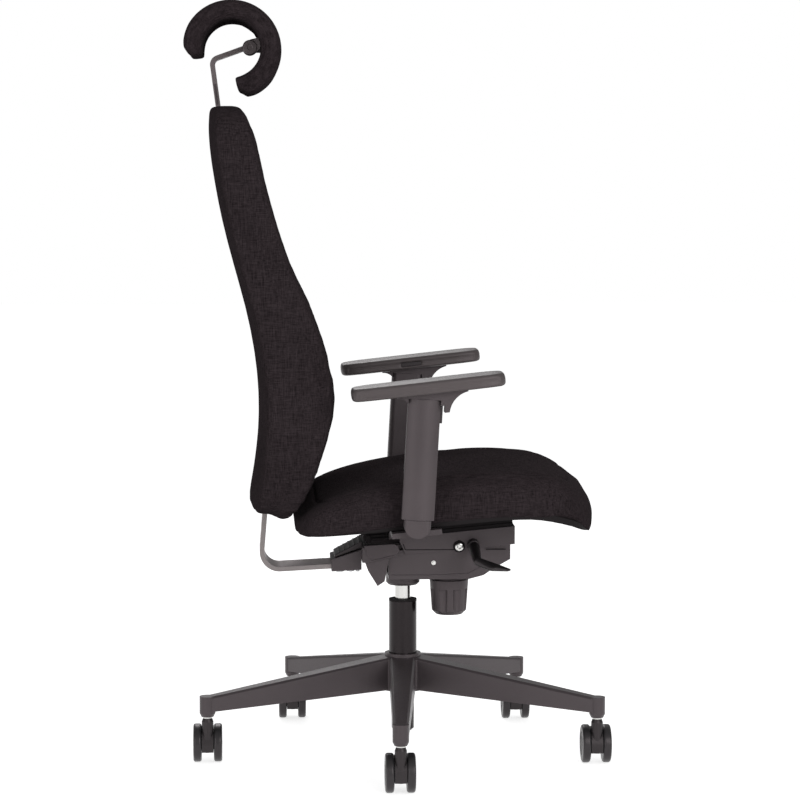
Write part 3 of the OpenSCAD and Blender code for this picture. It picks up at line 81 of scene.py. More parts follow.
# Camera, the photograph's: a long lens a little above the seat, pitched down
CAMERA_AT, CAMERA_AIM = (-0.2646, -5.0751, 1.0579), (-0.0048, 0.0, 0.6119)
SENSOR_WIDTH, LENS, CLIP_END = 36, 133.49, 60


def point_at(obj, target):
    obj.rotation_euler = (Vector(target) - obj.location).to_track_quat("-Z", "Y").to_euler()


camera = bpy.data.objects.new("camera", bpy.data.cameras.new("camera"))
scene.collection.objects.link(camera)
camera.location = CAMERA_AT
point_at(camera, CAMERA_AIM)
camera.data.sensor_width = SENSOR_WIDTH
camera.data.lens = LENS
camera.data.clip_end = CLIP_END
scene.camera = camera


# Materials
class Mat:
    """A principled material whose nodes are added by short calls."""

    def __init__(self, name, roughness=0.5, metallic=0.0, color=(0.1, 0.1, 0.1)):
        self.material = bpy.data.materials.new(name)
        self.material.use_nodes = True
        self.tree = self.material.node_tree
        self.tree.nodes.clear()
        out = self.tree.nodes.new("ShaderNodeOutputMaterial")
        self.bsdf = self.tree.nodes.new("ShaderNodeBsdfPrincipled")
        self.tree.links.new(self.bsdf.outputs[0], out.inputs["Surface"])
        self.set("Roughness", roughness)
        self.set("Metallic", metallic)
        self.set("Base Color", (*color, 1))
        self.coords = self.tree.nodes.new("ShaderNodeTexCoord")

    def put(self, socket, value):
        if hasattr(value, "links"):
            self.tree.links.new(value, socket)
        else:
            socket.default_value = value

    def set(self, name, value):
        self.put(self.bsdf.inputs[name], value)

    def add(self, kind, inputs=(), **attrs):
        node = self.tree.nodes.new("ShaderNode" + kind)
        for key, value in attrs.items():
            setattr(node, key, value)
        for key, value in dict(inputs).items():
            self.put(node.inputs[key], value)
        return node

    def math(self, how, a, b=0.0):
        return self.add("Math", {0: a, 1: b}, operation=how).outputs[0]

    def weighted(self, *terms):
        """The sum of (value, weight) pairs."""
        total = None
        for value, weight in terms:
            part = self.math("MULTIPLY", value, weight)
            total = part if total is None else self.math("ADD", total, part)
        return total

    def noise(self, scale, detail=3.0, rough=0.55, stretch=(1, 1, 1)):
        where = self.coords.outputs["Object"]
        if tuple(stretch) != (1, 1, 1):
            where = self.add("Mapping", {"Vector": where, "Scale": stretch}).outputs[0]
        node = self.add("TexNoise", {"Vector": where, "Scale": scale, "Detail": detail, "Roughness": rough})
        return node.outputs["Fac"]

    def ramp(self, value, low, high, to_low=0.0, to_high=1.0):
        node = self.add("MapRange", {0: value, 1: low, 2: high, 3: to_low, 4: to_high})
        return node.outputs[0]

    def mix(self, share, a, b):
        node = self.add("Mix", data_type="RGBA")
        self.put(node.inputs[0], share)
        self.put(node.inputs[6], (*a, 1) if isinstance(a, tuple) else a)
        self.put(node.inputs[7], (*b, 1) if isinstance(b, tuple) else b)
        return node.outputs[2]

    def bump(self, height, distance, strength=1.0, normal=None):
        node = self.add("Bump", {"Height": height, "Distance": distance, "Strength": strength})
        if normal is not None:
            self.put(node.inputs["Normal"], normal)
        self.set("Normal", node.outputs[0])

    def weave(self, pitch):
        """Height of a plain weave, laid on the three coordinate planes and mixed by the normal."""
        turns = 2 * math.pi / pitch
        drift = self.add("TexNoise", {"Vector": self.coords.outputs["Object"], "Scale": 45.0})
        lean = self.add("VectorMath", {0: drift.outputs["Color"], "Scale": pitch * 0.7}, operation="SCALE")
        where = self.add("VectorMath", {0: self.coords.outputs["Object"], 1: lean.outputs[0]})
        parts = self.add("SeparateXYZ", {0: where.outputs[0]})
        x, y, z = [self.math("SINE", self.math("MULTIPLY", parts.outputs[i], turns)) for i in range(3)]
        faces = self.add("CombineXYZ", {0: self.math("MULTIPLY", y, z), 1: self.math("MULTIPLY", x, z),
                                        2: self.math("MULTIPLY", x, y)})
        normal = self.coords.outputs["Normal"]
        weights = self.add("VectorMath", {0: normal, 1: normal}, operation="MULTIPLY")
        dot = self.add("VectorMath", {0: faces.outputs[0], 1: weights.outputs[0]}, operation="DOT_PRODUCT")
        return dot.outputs["Value"]

    def edge(self, radius):
        """A rounded normal along sharp edges, and a mask that is high there."""
        bevel = self.add("Bevel", {"Radius": radius}, samples=4)
        true = self.add("NewGeometry").outputs["Normal"]
        dot = self.add("VectorMath", {0: bevel.outputs[0], 1: true}, operation="DOT_PRODUCT")
        return bevel.outputs[0], self.ramp(dot.outputs["Value"], 0.995, 0.82)


GLOSS_TINT = (1.0, 0.88, 0.91, 1)
UPRIGHT_RUNS = {"warp_run": (1, 1, 0.1), "weft_run": (0.1, 1, 1)}


def scaled(color, factor, lift=0.0):
    return tuple(min(1, c * factor + lift) for c in color)


def fabric(name, dark, light, pitch, warp_run=(0.12, 1, 0.12), weft_run=(1, 0.1, 1)):
    """Woven cloth: crossing threads, slubs that run both ways, fuzz and a slow drift of tone."""
    m = Mat(name, roughness=0.92)
    threads = m.weave(pitch)
    fibre = m.noise(1400, 2.0)
    warp = m.noise(620, 3.0, 0.6, warp_run)
    weft = m.noise(620, 3.0, 0.6, weft_run)
    slub = m.math("MULTIPLY", m.math("ADD", warp, weft), 0.5)
    broad = m.noise(9, 4.0)
    tone = m.weighted((threads, 0.10), (slub, 1.5), (broad, 0.22), (fibre, 0.2))
    m.set("Base Color", m.mix(m.ramp(tone, 0.66, 1.26), dark, light))
    m.bump(m.weighted((threads, 0.5), (fibre, 0.35), (slub, 0.8)), 0.5 * MM, 0.8)
    m.set("Sheen Weight", 0.012)
    m.set("Sheen Roughness", 0.45)
    m.set("Specular IOR Level", 0.0)
    return m.material


def moulded(name, color, roughness, grain=0.12, worn=None, level=0.5):
    """Moulded plastic: fine grain, uneven tone, and a painted highlight that makes its edges paler."""
    m = Mat(name, roughness=roughness)
    normal, mask = m.edge(0.9 * MM)
    fine = m.noise(1100, 2.0)
    broad = m.noise(9, 3.0)
    base = m.mix(m.ramp(broad, 0.3, 0.75), scaled(color, 0.86), scaled(color, 1.14))
    # Paler edges: a painted highlight mixed into the colour along the edge mask
    m.set("Base Color", m.mix(m.math("MULTIPLY", mask, 0.45), base, worn or scaled(color, 1.9, 0.008)))
    m.set("Roughness", m.ramp(m.math("ADD", fine, broad), 0.6, 1.4, roughness - 0.07, roughness + 0.09))
    m.bump(fine, grain * MM, 0.5, normal)
    m.set("Specular IOR Level", level)
    m.set("Specular Tint", GLOSS_TINT)
    return m.material


def coated(name, color, roughness, metallic=0.0, peel=0.10, level=0.5):
    """Powder coat or paint on metal: pebbled skin, a little dust, and a painted highlight that makes its
    edges paler.
    """
    m = Mat(name, roughness=roughness, metallic=metallic)
    normal, mask = m.edge(1.1 * MM)
    pebble = m.noise(420, 3.0, 0.6)
    broad = m.noise(6, 4.0)
    dust = m.ramp(m.noise(30, 5.0, 0.7), 0.55, 0.8, 0.0, 0.25)
    base = m.mix(m.ramp(broad, 0.3, 0.75), scaled(color, 0.9), scaled(color, 1.12))
    base = m.mix(m.math("MULTIPLY", dust, 0.4), base, scaled(color, 1.3, 0.01))
    # Paler edges: a painted highlight mixed into the colour along the edge mask
    m.set("Base Color", m.mix(m.math("MULTIPLY", mask, 0.4), base, scaled(color, 1.8, 0.01)))
    m.set("Roughness", m.ramp(pebble, 0.35, 0.7, roughness - 0.06, roughness + 0.10))
    m.bump(pebble, peel * MM, 0.6, normal)
    m.set("Specular IOR Level", level)
    m.set("Specular Tint", GLOSS_TINT)
    return m.material


def bright(name, color, roughness, brushed):
    """Bare metal with faint streaks along its brushing."""
    m = Mat(name, roughness=roughness, metallic=1.0)
    normal, _ = m.edge(0.5 * MM)
    streak = m.noise(260, 4.0, 0.6, brushed)
    m.set("Base Color", m.mix(m.ramp(streak, 0.3, 0.7), scaled(color, 0.94), color))
    m.set("Roughness", m.ramp(streak, 0.35, 0.7, roughness * 0.75, roughness * 1.35))
    m.bump(streak, 0.02 * MM, 0.4, normal)
    return m.material


MATERIALS = {
    "fabric": fabric("fabric", (0.0085, 0.0064, 0.0070), (0.052, 0.040, 0.044), 2.2 * MM),
    "side_fabric": fabric("side_fabric", (0.0080, 0.0060, 0.0066), (0.054, 0.042, 0.046), 2.2 * MM,
                          **UPRIGHT_RUNS),
    "thread": fabric("thread", (0.008, 0.0065, 0.007), (0.035, 0.029, 0.031), 0.9 * MM),
    "black_plastic": moulded("black_plastic", (0.0125, 0.0115, 0.012), 0.40),
    "grey_plastic": moulded("grey_plastic", (0.060, 0.050, 0.053), 0.46),
    "grey_metal": coated("grey_metal", (0.058, 0.049, 0.052), 0.44),
    "base_metal": coated("base_metal", (0.056, 0.047, 0.050), 0.36),
    "bar_paint": coated("bar_paint", (0.27, 0.244, 0.240), 0.36, metallic=0.35, peel=0.05),
    "mast_paint": coated("mast_paint", (0.165, 0.142, 0.144), 0.38, metallic=0.2, peel=0.05),
    "column_paint": coated("column_paint", (0.0060, 0.0044, 0.0048), 0.20, peel=0.004, level=0.3),
    "steel": bright("steel", (0.42, 0.42, 0.43), 0.32, (1, 1, 6)),
    "chrome": bright("chrome", (0.58, 0.575, 0.56), 0.14, (1, 1, 0.2)),
    # The pad's paler edge colour is a painted highlight along its rims
    "pad": moulded("pad", (0.072, 0.062, 0.062), 0.45, 0.18, worn=(0.135, 0.122, 0.120)),
    "wheel": moulded("wheel", (0.019, 0.019, 0.020), 0.34, 0.06),
    "rubber": moulded("rubber", (0.010, 0.009, 0.0095), 0.7, 0.1, level=0.2),
}

# Each CAD node takes its slot's material, apart from a few whose tone the slot doesn't give
LOOKS = {"headrest_bar": "mast_paint", "headrest_knuckle": "mast_paint", "headrest_pin": "mast_paint",
         "column_guide": "rubber", "seat_rails": "rubber", "seat_pan": "rubber"}
SLOTS = {part["node"]: part["material_slot"] for part in frame["record"]["subparts"]}
for name, obj in frame["nodes"].items():
    look = MATERIALS[LOOKS.get(name, SLOTS[name])]
    if not len(obj.material_slots):
        obj.data.materials.append(look)
    for slot in obj.material_slots:
        slot.material = look


# Mesh helpers
def smooth_shade(mesh):
    mesh.polygons.foreach_set("use_smooth", [True] * len(mesh.polygons))


def piece(name, mesh, body, material, smooth=True):
    obj = bpy.data.objects.new(name, mesh)
    scene.collection.objects.link(obj)
    mesh.materials.clear()
    mesh.materials.append(MATERIALS[material])
    if smooth:
        smooth_shade(mesh)
    obj["body"] = body
    return obj


def fit(obj):
    """Makes a finished piece ride on its body."""
    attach(obj, obj["body"])
    return obj


def from_bmesh(name, bm):
    mesh = bpy.data.meshes.new(name)
    bm.normal_update()
    for edge in bm.edges:
        if len(edge.link_faces) == 2 and edge.calc_face_angle() > SHARP_ANGLE:
            edge.smooth = False
    bm.to_mesh(mesh)
    bm.free()
    return mesh


def bake(obj):
    """Applies the object's modifiers to its own mesh."""
    graph = bpy.context.evaluated_depsgraph_get()
    graph.update()
    mesh = bpy.data.meshes.new_from_object(obj.evaluated_get(graph))
    obj.modifiers.clear()
    old = obj.data
    obj.data = mesh
    bpy.data.meshes.remove(old)


def outward(bm, way=None):
    """Makes the faces look outward, also on a piece that is open at its hidden end."""
    bmesh.ops.recalc_face_normals(bm, faces=bm.faces)
    bm.normal_update()
    if way is not None and sum(f.normal.dot(way) * f.calc_area() for f in bm.faces) < 0:
        bmesh.ops.reverse_faces(bm, faces=bm.faces)


def turns_of(steps):
    """The angles of a full turn in equal steps."""
    return [2 * math.pi * i / steps for i in range(steps)]


def spokes(side, up, steps):
    """Unit vectors from side towards up and on round a full turn."""
    return [math.cos(a) * side + math.sin(a) * up for a in turns_of(steps)]


def join_rings(bm, rings):
    """Faces between rings of points; a ring of one point is a tip."""
    for low, high in zip(rings, rings[1:]):
        steps = max(len(low), len(high))
        for i in range(steps):
            j = (i + 1) % steps
            if len(low) == 1:
                bm.faces.new((low[0], high[j], high[i]))
            elif len(high) == 1:
                bm.faces.new((low[i], low[j], high[0]))
            else:
                bm.faces.new((low[i], low[j], high[j], high[i]))


def lathe(name, profile, at, axis, body, material):
    """A turned piece: profile is (radius, height) pairs along the axis, in mm."""
    bm = bmesh.new()
    rings = []
    place = Matrix.Translation(at) @ axis.to_track_quat("Z", "Y").to_matrix().to_4x4()
    for radius, height in profile:
        r, h = radius * MM, height * MM
        around = turns_of(TURN_STEPS) if r else [0.0]
        rings.append([bm.verts.new(place @ Vector((r * math.cos(a), r * math.sin(a), h))) for a in around])
    join_rings(bm, rings)
    outward(bm, axis if profile[0] != profile[-1] else None)
    return piece(name, from_bmesh(name, bm), body, material)


def sweep(name, path, radius, body, material, sides):
    """A round rod along a path."""
    bm = bmesh.new()
    rings = []
    for i, p in enumerate(path):
        way = (path[min(i + 1, len(path) - 1)] - path[max(i - 1, 0)]).normalized()
        out = UP if abs(way.z) < 0.9 else FORWARD
        side = way.cross(out).normalized()
        out = side.cross(way).normalized()
        rings.append([bm.verts.new(p + radius * spoke) for spoke in spokes(side, out, sides)])
    join_rings(bm, rings)
    bm.faces.new(list(reversed(rings[0])))
    bm.faces.new(rings[-1])
    bmesh.ops.recalc_face_normals(bm, faces=bm.faces)
    return piece(name, from_bmesh(name, bm), body, material)


def slab(name, outline, across, body, material, soft_edge):
    """A prism with rounded edges: an outline in x and z, in mm, between two places in y."""
    bm = bmesh.new()
    near, far = [[bm.verts.new((x * MM, y * MM, z * MM)) for x, z in outline] for y in sorted(across)]
    bm.faces.new(near)
    bm.faces.new(list(reversed(far)))
    for i in range(len(outline)):
        j = (i + 1) % len(outline)
        bm.faces.new((near[j], near[i], far[i], far[j]))
    bmesh.ops.recalc_face_normals(bm, faces=bm.faces)
    bmesh.ops.bevel(bm, geom=list(bm.edges), offset=soft_edge * MM, segments=2, affect="EDGES", profile=0.5)
    return fit(piece(name, from_bmesh(name, bm), body, material, smooth=False))


def dense(path, step):
    """The path with points added at about the given spacing."""
    out = []
    for a, b in zip(path, path[1:]):
        n = max(1, int((b - a).length / step))
        out += [a.lerp(b, i / n) for i in range(n)]
    return out + [path[-1]]


def tree_of(points):
    tree = kdtree.KDTree(len(points))
    for i, p in enumerate(points):
        tree.insert(p, i)
    tree.balance()
    return tree


def surface(obj):
    mesh = obj.data
    return BVHTree.FromPolygons([v.co for v in mesh.vertices], [p.vertices for p in mesh.polygons])


def ease(value, low, high):
    t = max(0.0, min(1.0, (value - low) / (high - low)))
    return t * t * (3 - 2 * t)


# Soft goods: each starts from its CAD solid, is remeshed, drawn in a little and blown up as cloth
def skin(name, nodes, body, material, voxel, passes, shape=None):
    """An even mesh round the solids of some nodes, smoothed in a few passes."""
    bm = bmesh.new()
    for node in nodes:
        first = len(bm.verts)
        bm.from_mesh(frame["nodes"][node].data)
        bm.verts.ensure_lookup_table()
        if shape:
            for v in bm.verts[first:]:
                v.co = shape(node, v.co)
    mesh = bpy.data.meshes.new(name)
    obj = piece(name, mesh, body, material)
    bmesh.ops.remove_doubles(bm, verts=bm.verts, dist=WELD)
    bm.normal_update()
    bm.to_mesh(mesh)
    bm.free()
    remesh = obj.modifiers.new("remesh", "REMESH")
    remesh.mode = "VOXEL"
    remesh.voxel_size = voxel * MM
    relax = obj.modifiers.new("relax", "SMOOTH")
    relax.iterations = passes
    relax.factor = 0.5
    bake(obj)
    return obj


def stand_for(obj, nodes):
    """Puts a padded piece in the place of its CAD nodes."""
    fit(obj)
    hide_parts(*nodes)


def soft(name, nodes, body, hold, shape, voxel, passes, shrink, cap):
    """A sewn cover, ready for blow_up; hold says how free a point is, from 0 to 1, and lengths are in mm."""
    obj = skin(name, nodes, body, "fabric", voxel, passes, shape)
    normals = [v.normal.copy() for v in obj.data.vertices]
    for v, n in zip(obj.data.vertices, normals):
        v.co -= n * (shrink * MM) * hold(v.co)
    obj.data.update()
    stand_for(obj, nodes)
    start = [v.co.copy() for v in obj.data.vertices]
    return {"obj": obj, "cap": cap * MM, "hold": hold, "start": start, "normals": normals}


CLOTH_STEPS = 20
CLOTH = {"use_pressure": True, "uniform_pressure_force": 4.0, "quality": 4, "mass": 0.3,
         "tension_stiffness": 14, "compression_stiffness": 14, "shear_stiffness": 6,
         "bending_stiffness": 1.2}


def blow_up(jobs):
    """Runs the cloth of every cover together, undoes moves inward, caps the rest and subdivides."""
    for job in jobs:
        cloth = job["obj"].modifiers.new("cloth", "CLOTH")
        for key, value in CLOTH.items():
            setattr(cloth.settings, key, value)
        cloth.settings.effector_weights.gravity = 0
        cloth.collision_settings.use_collision = False
    for step in range(1, CLOTH_STEPS + 1):
        scene.frame_set(step)
    for job in jobs:
        bake(job["obj"])
    scene.frame_set(1)
    for job in jobs:
        obj = job["obj"]
        for v, start, n in zip(obj.data.vertices, job["start"], job["normals"]):
            move = v.co - start
            move -= n * min(0.0, move.dot(n))
            most = job["cap"] * job["hold"](start)
            if move.length > most:
                move *= most / move.length
            v.co = start + move
        subdivide = obj.modifiers.new("subdivide", "SUBSURF")
        subdivide.levels = 1
        bake(obj)
        smooth_shade(obj.data)


# The seat, in its sloped frame: x forward and z up from the seat pivot
COVER_LIP = 12 * MM
NOSE = (0.185, 0.222)
SEAT_HALF_Y = 0.24


def seat_frame(p):
    d = p - SEAT_PIVOT
    c, s = math.cos(SEAT_SLOPE), math.sin(SEAT_SLOPE)
    return Vector((d.x * c + d.z * s, d.y, d.z * c - d.x * s))


def seat_under(x):
    """Height of the seat pan's underside, which falls towards the nose."""
    return 58.5 * MM - 46 * MM * ease(x, 0.098, 0.222)


def seat_shape(node, p):
    """The cover wraps down round the pan's edge, and the nose bulges above its drawn-in hem."""
    q = seat_frame(p)
    low = q.z - seat_under(q.x) - COVER_LIP
    drop = (12.8 + 2.4 * ease(q.x, 0.15, 0.20)) * MM * (1 - ease(low, 1 * MM, 16 * MM))
    nose = ease(q.x, *NOSE) * (1 - abs(q.y / SEAT_HALF_Y) ** 4)
    belly = math.sin(math.pi * max(0.0, min(1.0, (low + 6 * MM) / (50 * MM))))
    bulge = nose * (5.5 * MM * belly + 2.0 * MM)
    bulge -= 5.5 * MM * ease(q.x, *NOSE) * (1 - ease(low, 0, 14 * MM))
    return p - drop * Vector((-math.sin(SEAT_SLOPE), 0, math.cos(SEAT_SLOPE))) + Vector((bulge, 0, 0))


def seat_hold(p):
    q = seat_frame(p)
    return ease(q.z - seat_under(q.x), 5 * MM, 34 * MM) * (0.35 + 0.65 * ease(q.x, -0.26, -0.18))


# The backrest: its cushion and rear cover are sewn to each other along the plane where their solids meet
def split_rows():
    """That plane's x by height, read from the cushion's solid."""
    rows = {}
    for v in frame["nodes"]["back_cushion"].data.vertices:
        key = round(v.co.z, 3)
        rows[key] = min(rows.get(key, 9.0), v.co.x)
    return sorted(rows.items())


SPLIT = split_rows()


def back_split_x(z):
    for (z0, x0), (z1, x1) in zip(SPLIT, SPLIT[1:]):
        if z <= z1:
            return x0 + (x1 - x0) * (z - z0) / (z1 - z0)
    return SPLIT[-1][1]


def back_shape(node, p):
    """Closes the gap between the two solids."""
    if node == "back_cushion" and p.x < back_split_x(p.z) + 0.5 * MM:
        return p - Vector((2.5 * MM, 0, 0))
    return p


def back_hold(p):
    return 0.12 + 0.88 * ease(p.x - back_split_x(p.z), 4 * MM, 34 * MM)


# The headrest, a C about its centre
HEAD_INNER, HEAD_OUTER = 48.5 * MM, 82.2 * MM
HEAD_MIDDLE = math.radians(52)
HEAD_SEAM = {"radius": 0.0620, "start": -78, "end": 181, "count": 110}


def from_head(p):
    return p.x - HEAD_CENTRE.x, p.z - HEAD_CENTRE.z


head_radii = [math.hypot(*from_head(v.co)) for v in frame["nodes"]["headrest_pad"].data.vertices]
PAD_INNER, PAD_OUTER = min(head_radii), max(head_radii)


def head_shape(node, p):
    """The pad's cover also wraps the core's inner side, and reaches a little past both its ends."""
    x, z = from_head(p)
    share = (math.hypot(x, z) - PAD_INNER) / (PAD_OUTER - PAD_INNER)
    out = HEAD_INNER + share * (HEAD_OUTER - HEAD_INNER)
    turn = math.atan2(z, x) - HEAD_MIDDLE
    if turn < -math.pi:
        turn += 2 * math.pi
    turn = HEAD_MIDDLE + turn * (1.03 if turn > 0 else 1.01)
    return Vector((HEAD_CENTRE.x + out * math.cos(turn) + 1.4 * MM * share, p.y,
                   HEAD_CENTRE.z + out * math.sin(turn) - 0.6 * MM * share))


def head_hold(p):
    return 0.15 + 0.85 * ease(math.hypot(*from_head(p)), HEAD_INNER + 3 * MM, HEAD_INNER + 16 * MM)


covers = [
    soft("seat_cushion_cloth", ["seat_cushion"], "seat_slide", seat_hold, seat_shape,
         voxel=5.2, passes=14, shrink=3.5, cap=6),
    soft("back_upholstery", ["back_cushion", "back_cover"], "backrest", back_hold, back_shape,
         voxel=5.5, passes=6, shrink=3.5, cap=6),
    soft("headrest_pad_cloth", ["headrest_pad"], "headrest", head_hold, head_shape,
         voxel=4.0, passes=4, shrink=2.0, cap=4.5),
]
blow_up(covers)
seat, back, head = [job["obj"] for job in covers]

# Under the seat the cover ends in a rim, and the pan shows inside it
RIM_X, RIM_Y, RIM_MIDDLE, RIM_POWER = 0.245, 0.234, -0.026, 5
RIM_START, RIM_END = 0.905, 0.945
for v in seat.data.vertices:
    q = seat_frame(v.co)
    reach = (abs((q.x - RIM_MIDDLE) / RIM_X) ** RIM_POWER + abs(q.y / RIM_Y) ** RIM_POWER) ** (1 / RIM_POWER)
    if reach < RIM_END and q.z - seat_under(q.x) < 9 * MM:
        v.co += 6 * MM * (1 - ease(reach, RIM_START, RIM_END)) * UP
seat.data.update()


# Seams: the surface sinks along them, and a row of stitches lies in the sink
SEAM_STEP = 8 * MM
STITCH_LENGTH, STITCH_PITCH, STITCH_RADIUS, STITCH_SIDES = 3.2 * MM, 5.0 * MM, 0.45 * MM, 6
STITCH_SHAPE = ((-0.5, 0.35), (-0.3, 0.9), (0.0, 1.0), (0.3, 0.9), (0.5, 0.35))
BREAK = 0.05


def traced(tree, rays):
    """Where rays meet a surface, and its normals there."""
    hits = [hit for hit in [tree.ray_cast(start, way) for start, way in rays] if hit[0] is not None]
    return [hit[0] for hit in hits], [hit[1] for hit in hits]


def seat_seam(inset, count=240):
    """A line round the seat's top, a given distance in from its outline."""
    tree = surface(seat)
    slope = Matrix.Rotation(-SEAT_SLOPE, 3, "Y")
    rim = []
    for a in turns_of(count):
        way = Vector((math.cos(a), math.sin(a), 0))
        centre = Vector((-0.010, 0, 0.085 - 0.03 * ease(way.x, 0.5, 1.0)))
        hit = tree.ray_cast(SEAT_PIVOT + slope @ (centre + way * 0.6), slope @ -way)
        rim.append(seat_frame(hit[0]))
    rays = []
    for i, p in enumerate(rim):
        along = rim[(i + 1) % count] - rim[i - 1]
        q = Vector((p.x, p.y, 0)) + Vector((-along.y, along.x, 0)).normalized() * inset
        rays.append((SEAT_PIVOT + slope @ Vector((q.x, q.y, 0.25)), slope @ DOWN))
    return traced(tree, rays)


def rounded(half_y, low, high, r, steps=8):
    """Corners of a rounded rectangle in y and z, closed."""
    out = []
    for cy, cz, start in ((half_y - r, high - r, 0), (r - half_y, high - r, 90),
                          (r - half_y, low + r, 180), (half_y - r, low + r, 270)):
        for i in range(steps + 1):
            a = math.radians(start + 90 * i / steps)
            out.append(Vector((0, cy + r * math.cos(a), cz + r * math.sin(a))))
    return out + out[:1]


def front_seam(corners):
    """A line on the backrest's front through corners."""
    rays = [(Vector((0.4, p.y, p.z)), Vector((-1, 0, 0))) for p in dense(corners, SEAM_STEP)]
    return traced(surface(back), rays)


def side_seam(side, low, high, ahead):
    """A line up the backrest's side, a given distance in front of the plane where its halves meet."""
    heights = [low + i * SEAM_STEP for i in range(int((high - low) / SEAM_STEP) + 1)]
    return traced(surface(back), [(Vector((back_split_x(z) + ahead, side * 0.4, z)), Vector((0, -side, 0)))
                                  for z in heights])


def head_seam(side, radius, start, end, count):
    """An arc on the headrest's end face."""
    rays = []
    for i in range(count + 1):
        a = math.radians(start + (end - start) * i / count)
        x, z = HEAD_CENTRE.x + radius * math.cos(a), HEAD_CENTRE.z + radius * math.sin(a)
        rays.append((Vector((x, side * 0.3, z)), Vector((0, -side, 0))))
    return traced(surface(head), rays)


def groove(obj, seams, depth, width):
    """Sinks the surface along seams, as they do in padding; depth and width are in mm."""
    depth, width = depth * MM, width * MM
    tree = tree_of([p for path, _ in seams for p in dense(path, 2 * MM)])
    mesh = obj.data
    normals = [v.normal.copy() for v in mesh.vertices]
    for v, n in zip(mesh.vertices, normals):
        far = tree.find(v.co)[2]
        if far < 3 * width:
            v.co -= n * depth * math.exp(-(far / width) ** 2)
    mesh.update()


def stitches(name, path, normals, body):
    """Short threads laid along a path on a surface, sunk at both ends."""
    bm = bmesh.new()
    travelled = 0.0
    due = 0.0
    for a, b, n in zip(path, path[1:] + path[:1], normals):
        gap = (b - a).length
        if gap > BREAK:
            continue
        while due < travelled + gap:
            way = (b - a).normalized()
            mid = a + way * (due - travelled)
            side = way.cross(n).normalized()
            rings = []
            for share, swell in STITCH_SHAPE:
                centre = mid + way * STITCH_LENGTH * share + n * (STITCH_RADIUS * (swell - 0.8))
                rings.append([bm.verts.new(centre + STITCH_RADIUS * swell * spoke)
                              for spoke in spokes(side, n, STITCH_SIDES)])
            join_rings(bm, rings)
            due += STITCH_PITCH
        travelled += gap
    return fit(piece(name, from_bmesh(name, bm), body, "thread"))


def sew(obj, name, seams, depth, width):
    groove(obj, seams, depth, width)
    tree = surface(obj)
    for k, (path, normals) in enumerate(seams):
        laid, ups = [], []
        for p, n in zip(path, normals):
            hit = tree.find_nearest(p)
            laid.append(hit[0])
            ups.append(hit[1] if hit[1].dot(n) > 0 else n)
        stitches("%s_%d" % (name, k + 1), laid, ups, obj["body"])


seat_line = seat_seam(33 * MM)
sew(seat, "seat_stitches", [seat_line], 2.3, 3.4)
back_low, back_high = [corner[2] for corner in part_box("back_cushion")]
front_panel = rounded(0.168, back_low + 52 * MM, back_high - 40 * MM, 0.055)
sew(back, "back_stitches", [front_seam(front_panel)], 1.0, 2.6)
groove(back, [side_seam(s, back_low + 25 * MM, back_high - 22 * MM, 1 * MM) for s in (-1, 1)], 0.8, 2.2)
sew(head, "headrest_stitches", [head_seam(s, **HEAD_SEAM) for s in (-1, 1)], 1.0, 2.4)

# The side panels of the seat and backrest are cut with their threads upright
for obj in (seat, back):
    obj.data.materials.append(MATERIALS["side_fabric"])
seat_line_tree = tree_of(seat_line[0])
for face in seat.data.polygons:
    if face.center.z < seat_line_tree.find(face.center)[0].z - 0.5 * MM:
        face.material_index = 1
for face in back.data.polygons:
    if abs(face.normal.y) > 0.75:
        face.material_index = 1


# Arm pads: soft polyurethane, with a shallow recessed panel in each long side
PANEL_DEPTH = 1.4 * MM


def arm_pad(tag):
    node = "arm_pad_" + tag
    obj = skin(node + "_soft", [node], "pad_" + tag, "pad", voxel=2.2, passes=2)
    lo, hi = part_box(node)
    slope = math.tan(PAD_SLOPE)
    mid = (lo[0] + hi[0]) / 2
    half = (hi[2] - lo[2] - (hi[0] - lo[0]) * slope) * 0.5
    for v in obj.data.vertices:
        along = min(v.co.x - lo[0], hi[0] - v.co.x)
        up = v.co.z - (lo[2] + hi[2]) / 2 - (v.co.x - mid) * slope
        inside = ease(along, 11 * MM, 14 * MM) * (1 - ease(abs(up + 1 * MM), half - 7 * MM, half - 5 * MM))
        if abs(v.normal.y) > 0.6:
            v.co.y -= math.copysign(PANEL_DEPTH * inside, v.normal.y)
    smooth_shade(obj.data)
    stand_for(obj, [node])


for tag, _ in SIDES:
    arm_pad(tag)


# Coil spring in place of its stand-in tube
def spring():
    lo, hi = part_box("tilt_spring")
    wire = 2.2 * MM
    radius = (hi[0] - lo[0]) / 2 - wire
    x = (lo[0] + hi[0]) / 2
    turns, steps = 5.5, 220
    path = []
    for i in range(steps + 1):
        t = i / steps
        a = 2 * math.pi * turns * t
        rise = ease(t, 0.0, 1.0) * 0.35 + t * 0.65
        z = lo[2] + wire + rise * (hi[2] - lo[2] - 2 * wire)
        path.append(Vector((x + radius * math.cos(a), radius * math.sin(a), z)))
    coil = fit(sweep("tilt_spring_coil", path, wire, "lift", "steel", sides=10))
    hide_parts("tilt_spring")
    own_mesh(coil)


spring()

# Bolt heads with a hexagon socket, and a dark washer, at both seat pivots
BOLT_RADIUS, BOLT_HEIGHT = 7.6 * MM, 3.6 * MM
BOLT_RINGS = ((1, 0, 0), (1, 0.45, 0), (0.93, 0.8, 0), (0.78, 1, 0),
              (0.52, 1, 1), (0.50, 0.93, 1), (0.50, 0.25, 1), (0.2, 0.15, 1))
WASHER = [(6.2, 0), (9.8, 0), (10.2, 0.4), (10.2, 0.9), (9.8, 1.3), (6.2, 1.3), (6.2, 0)]


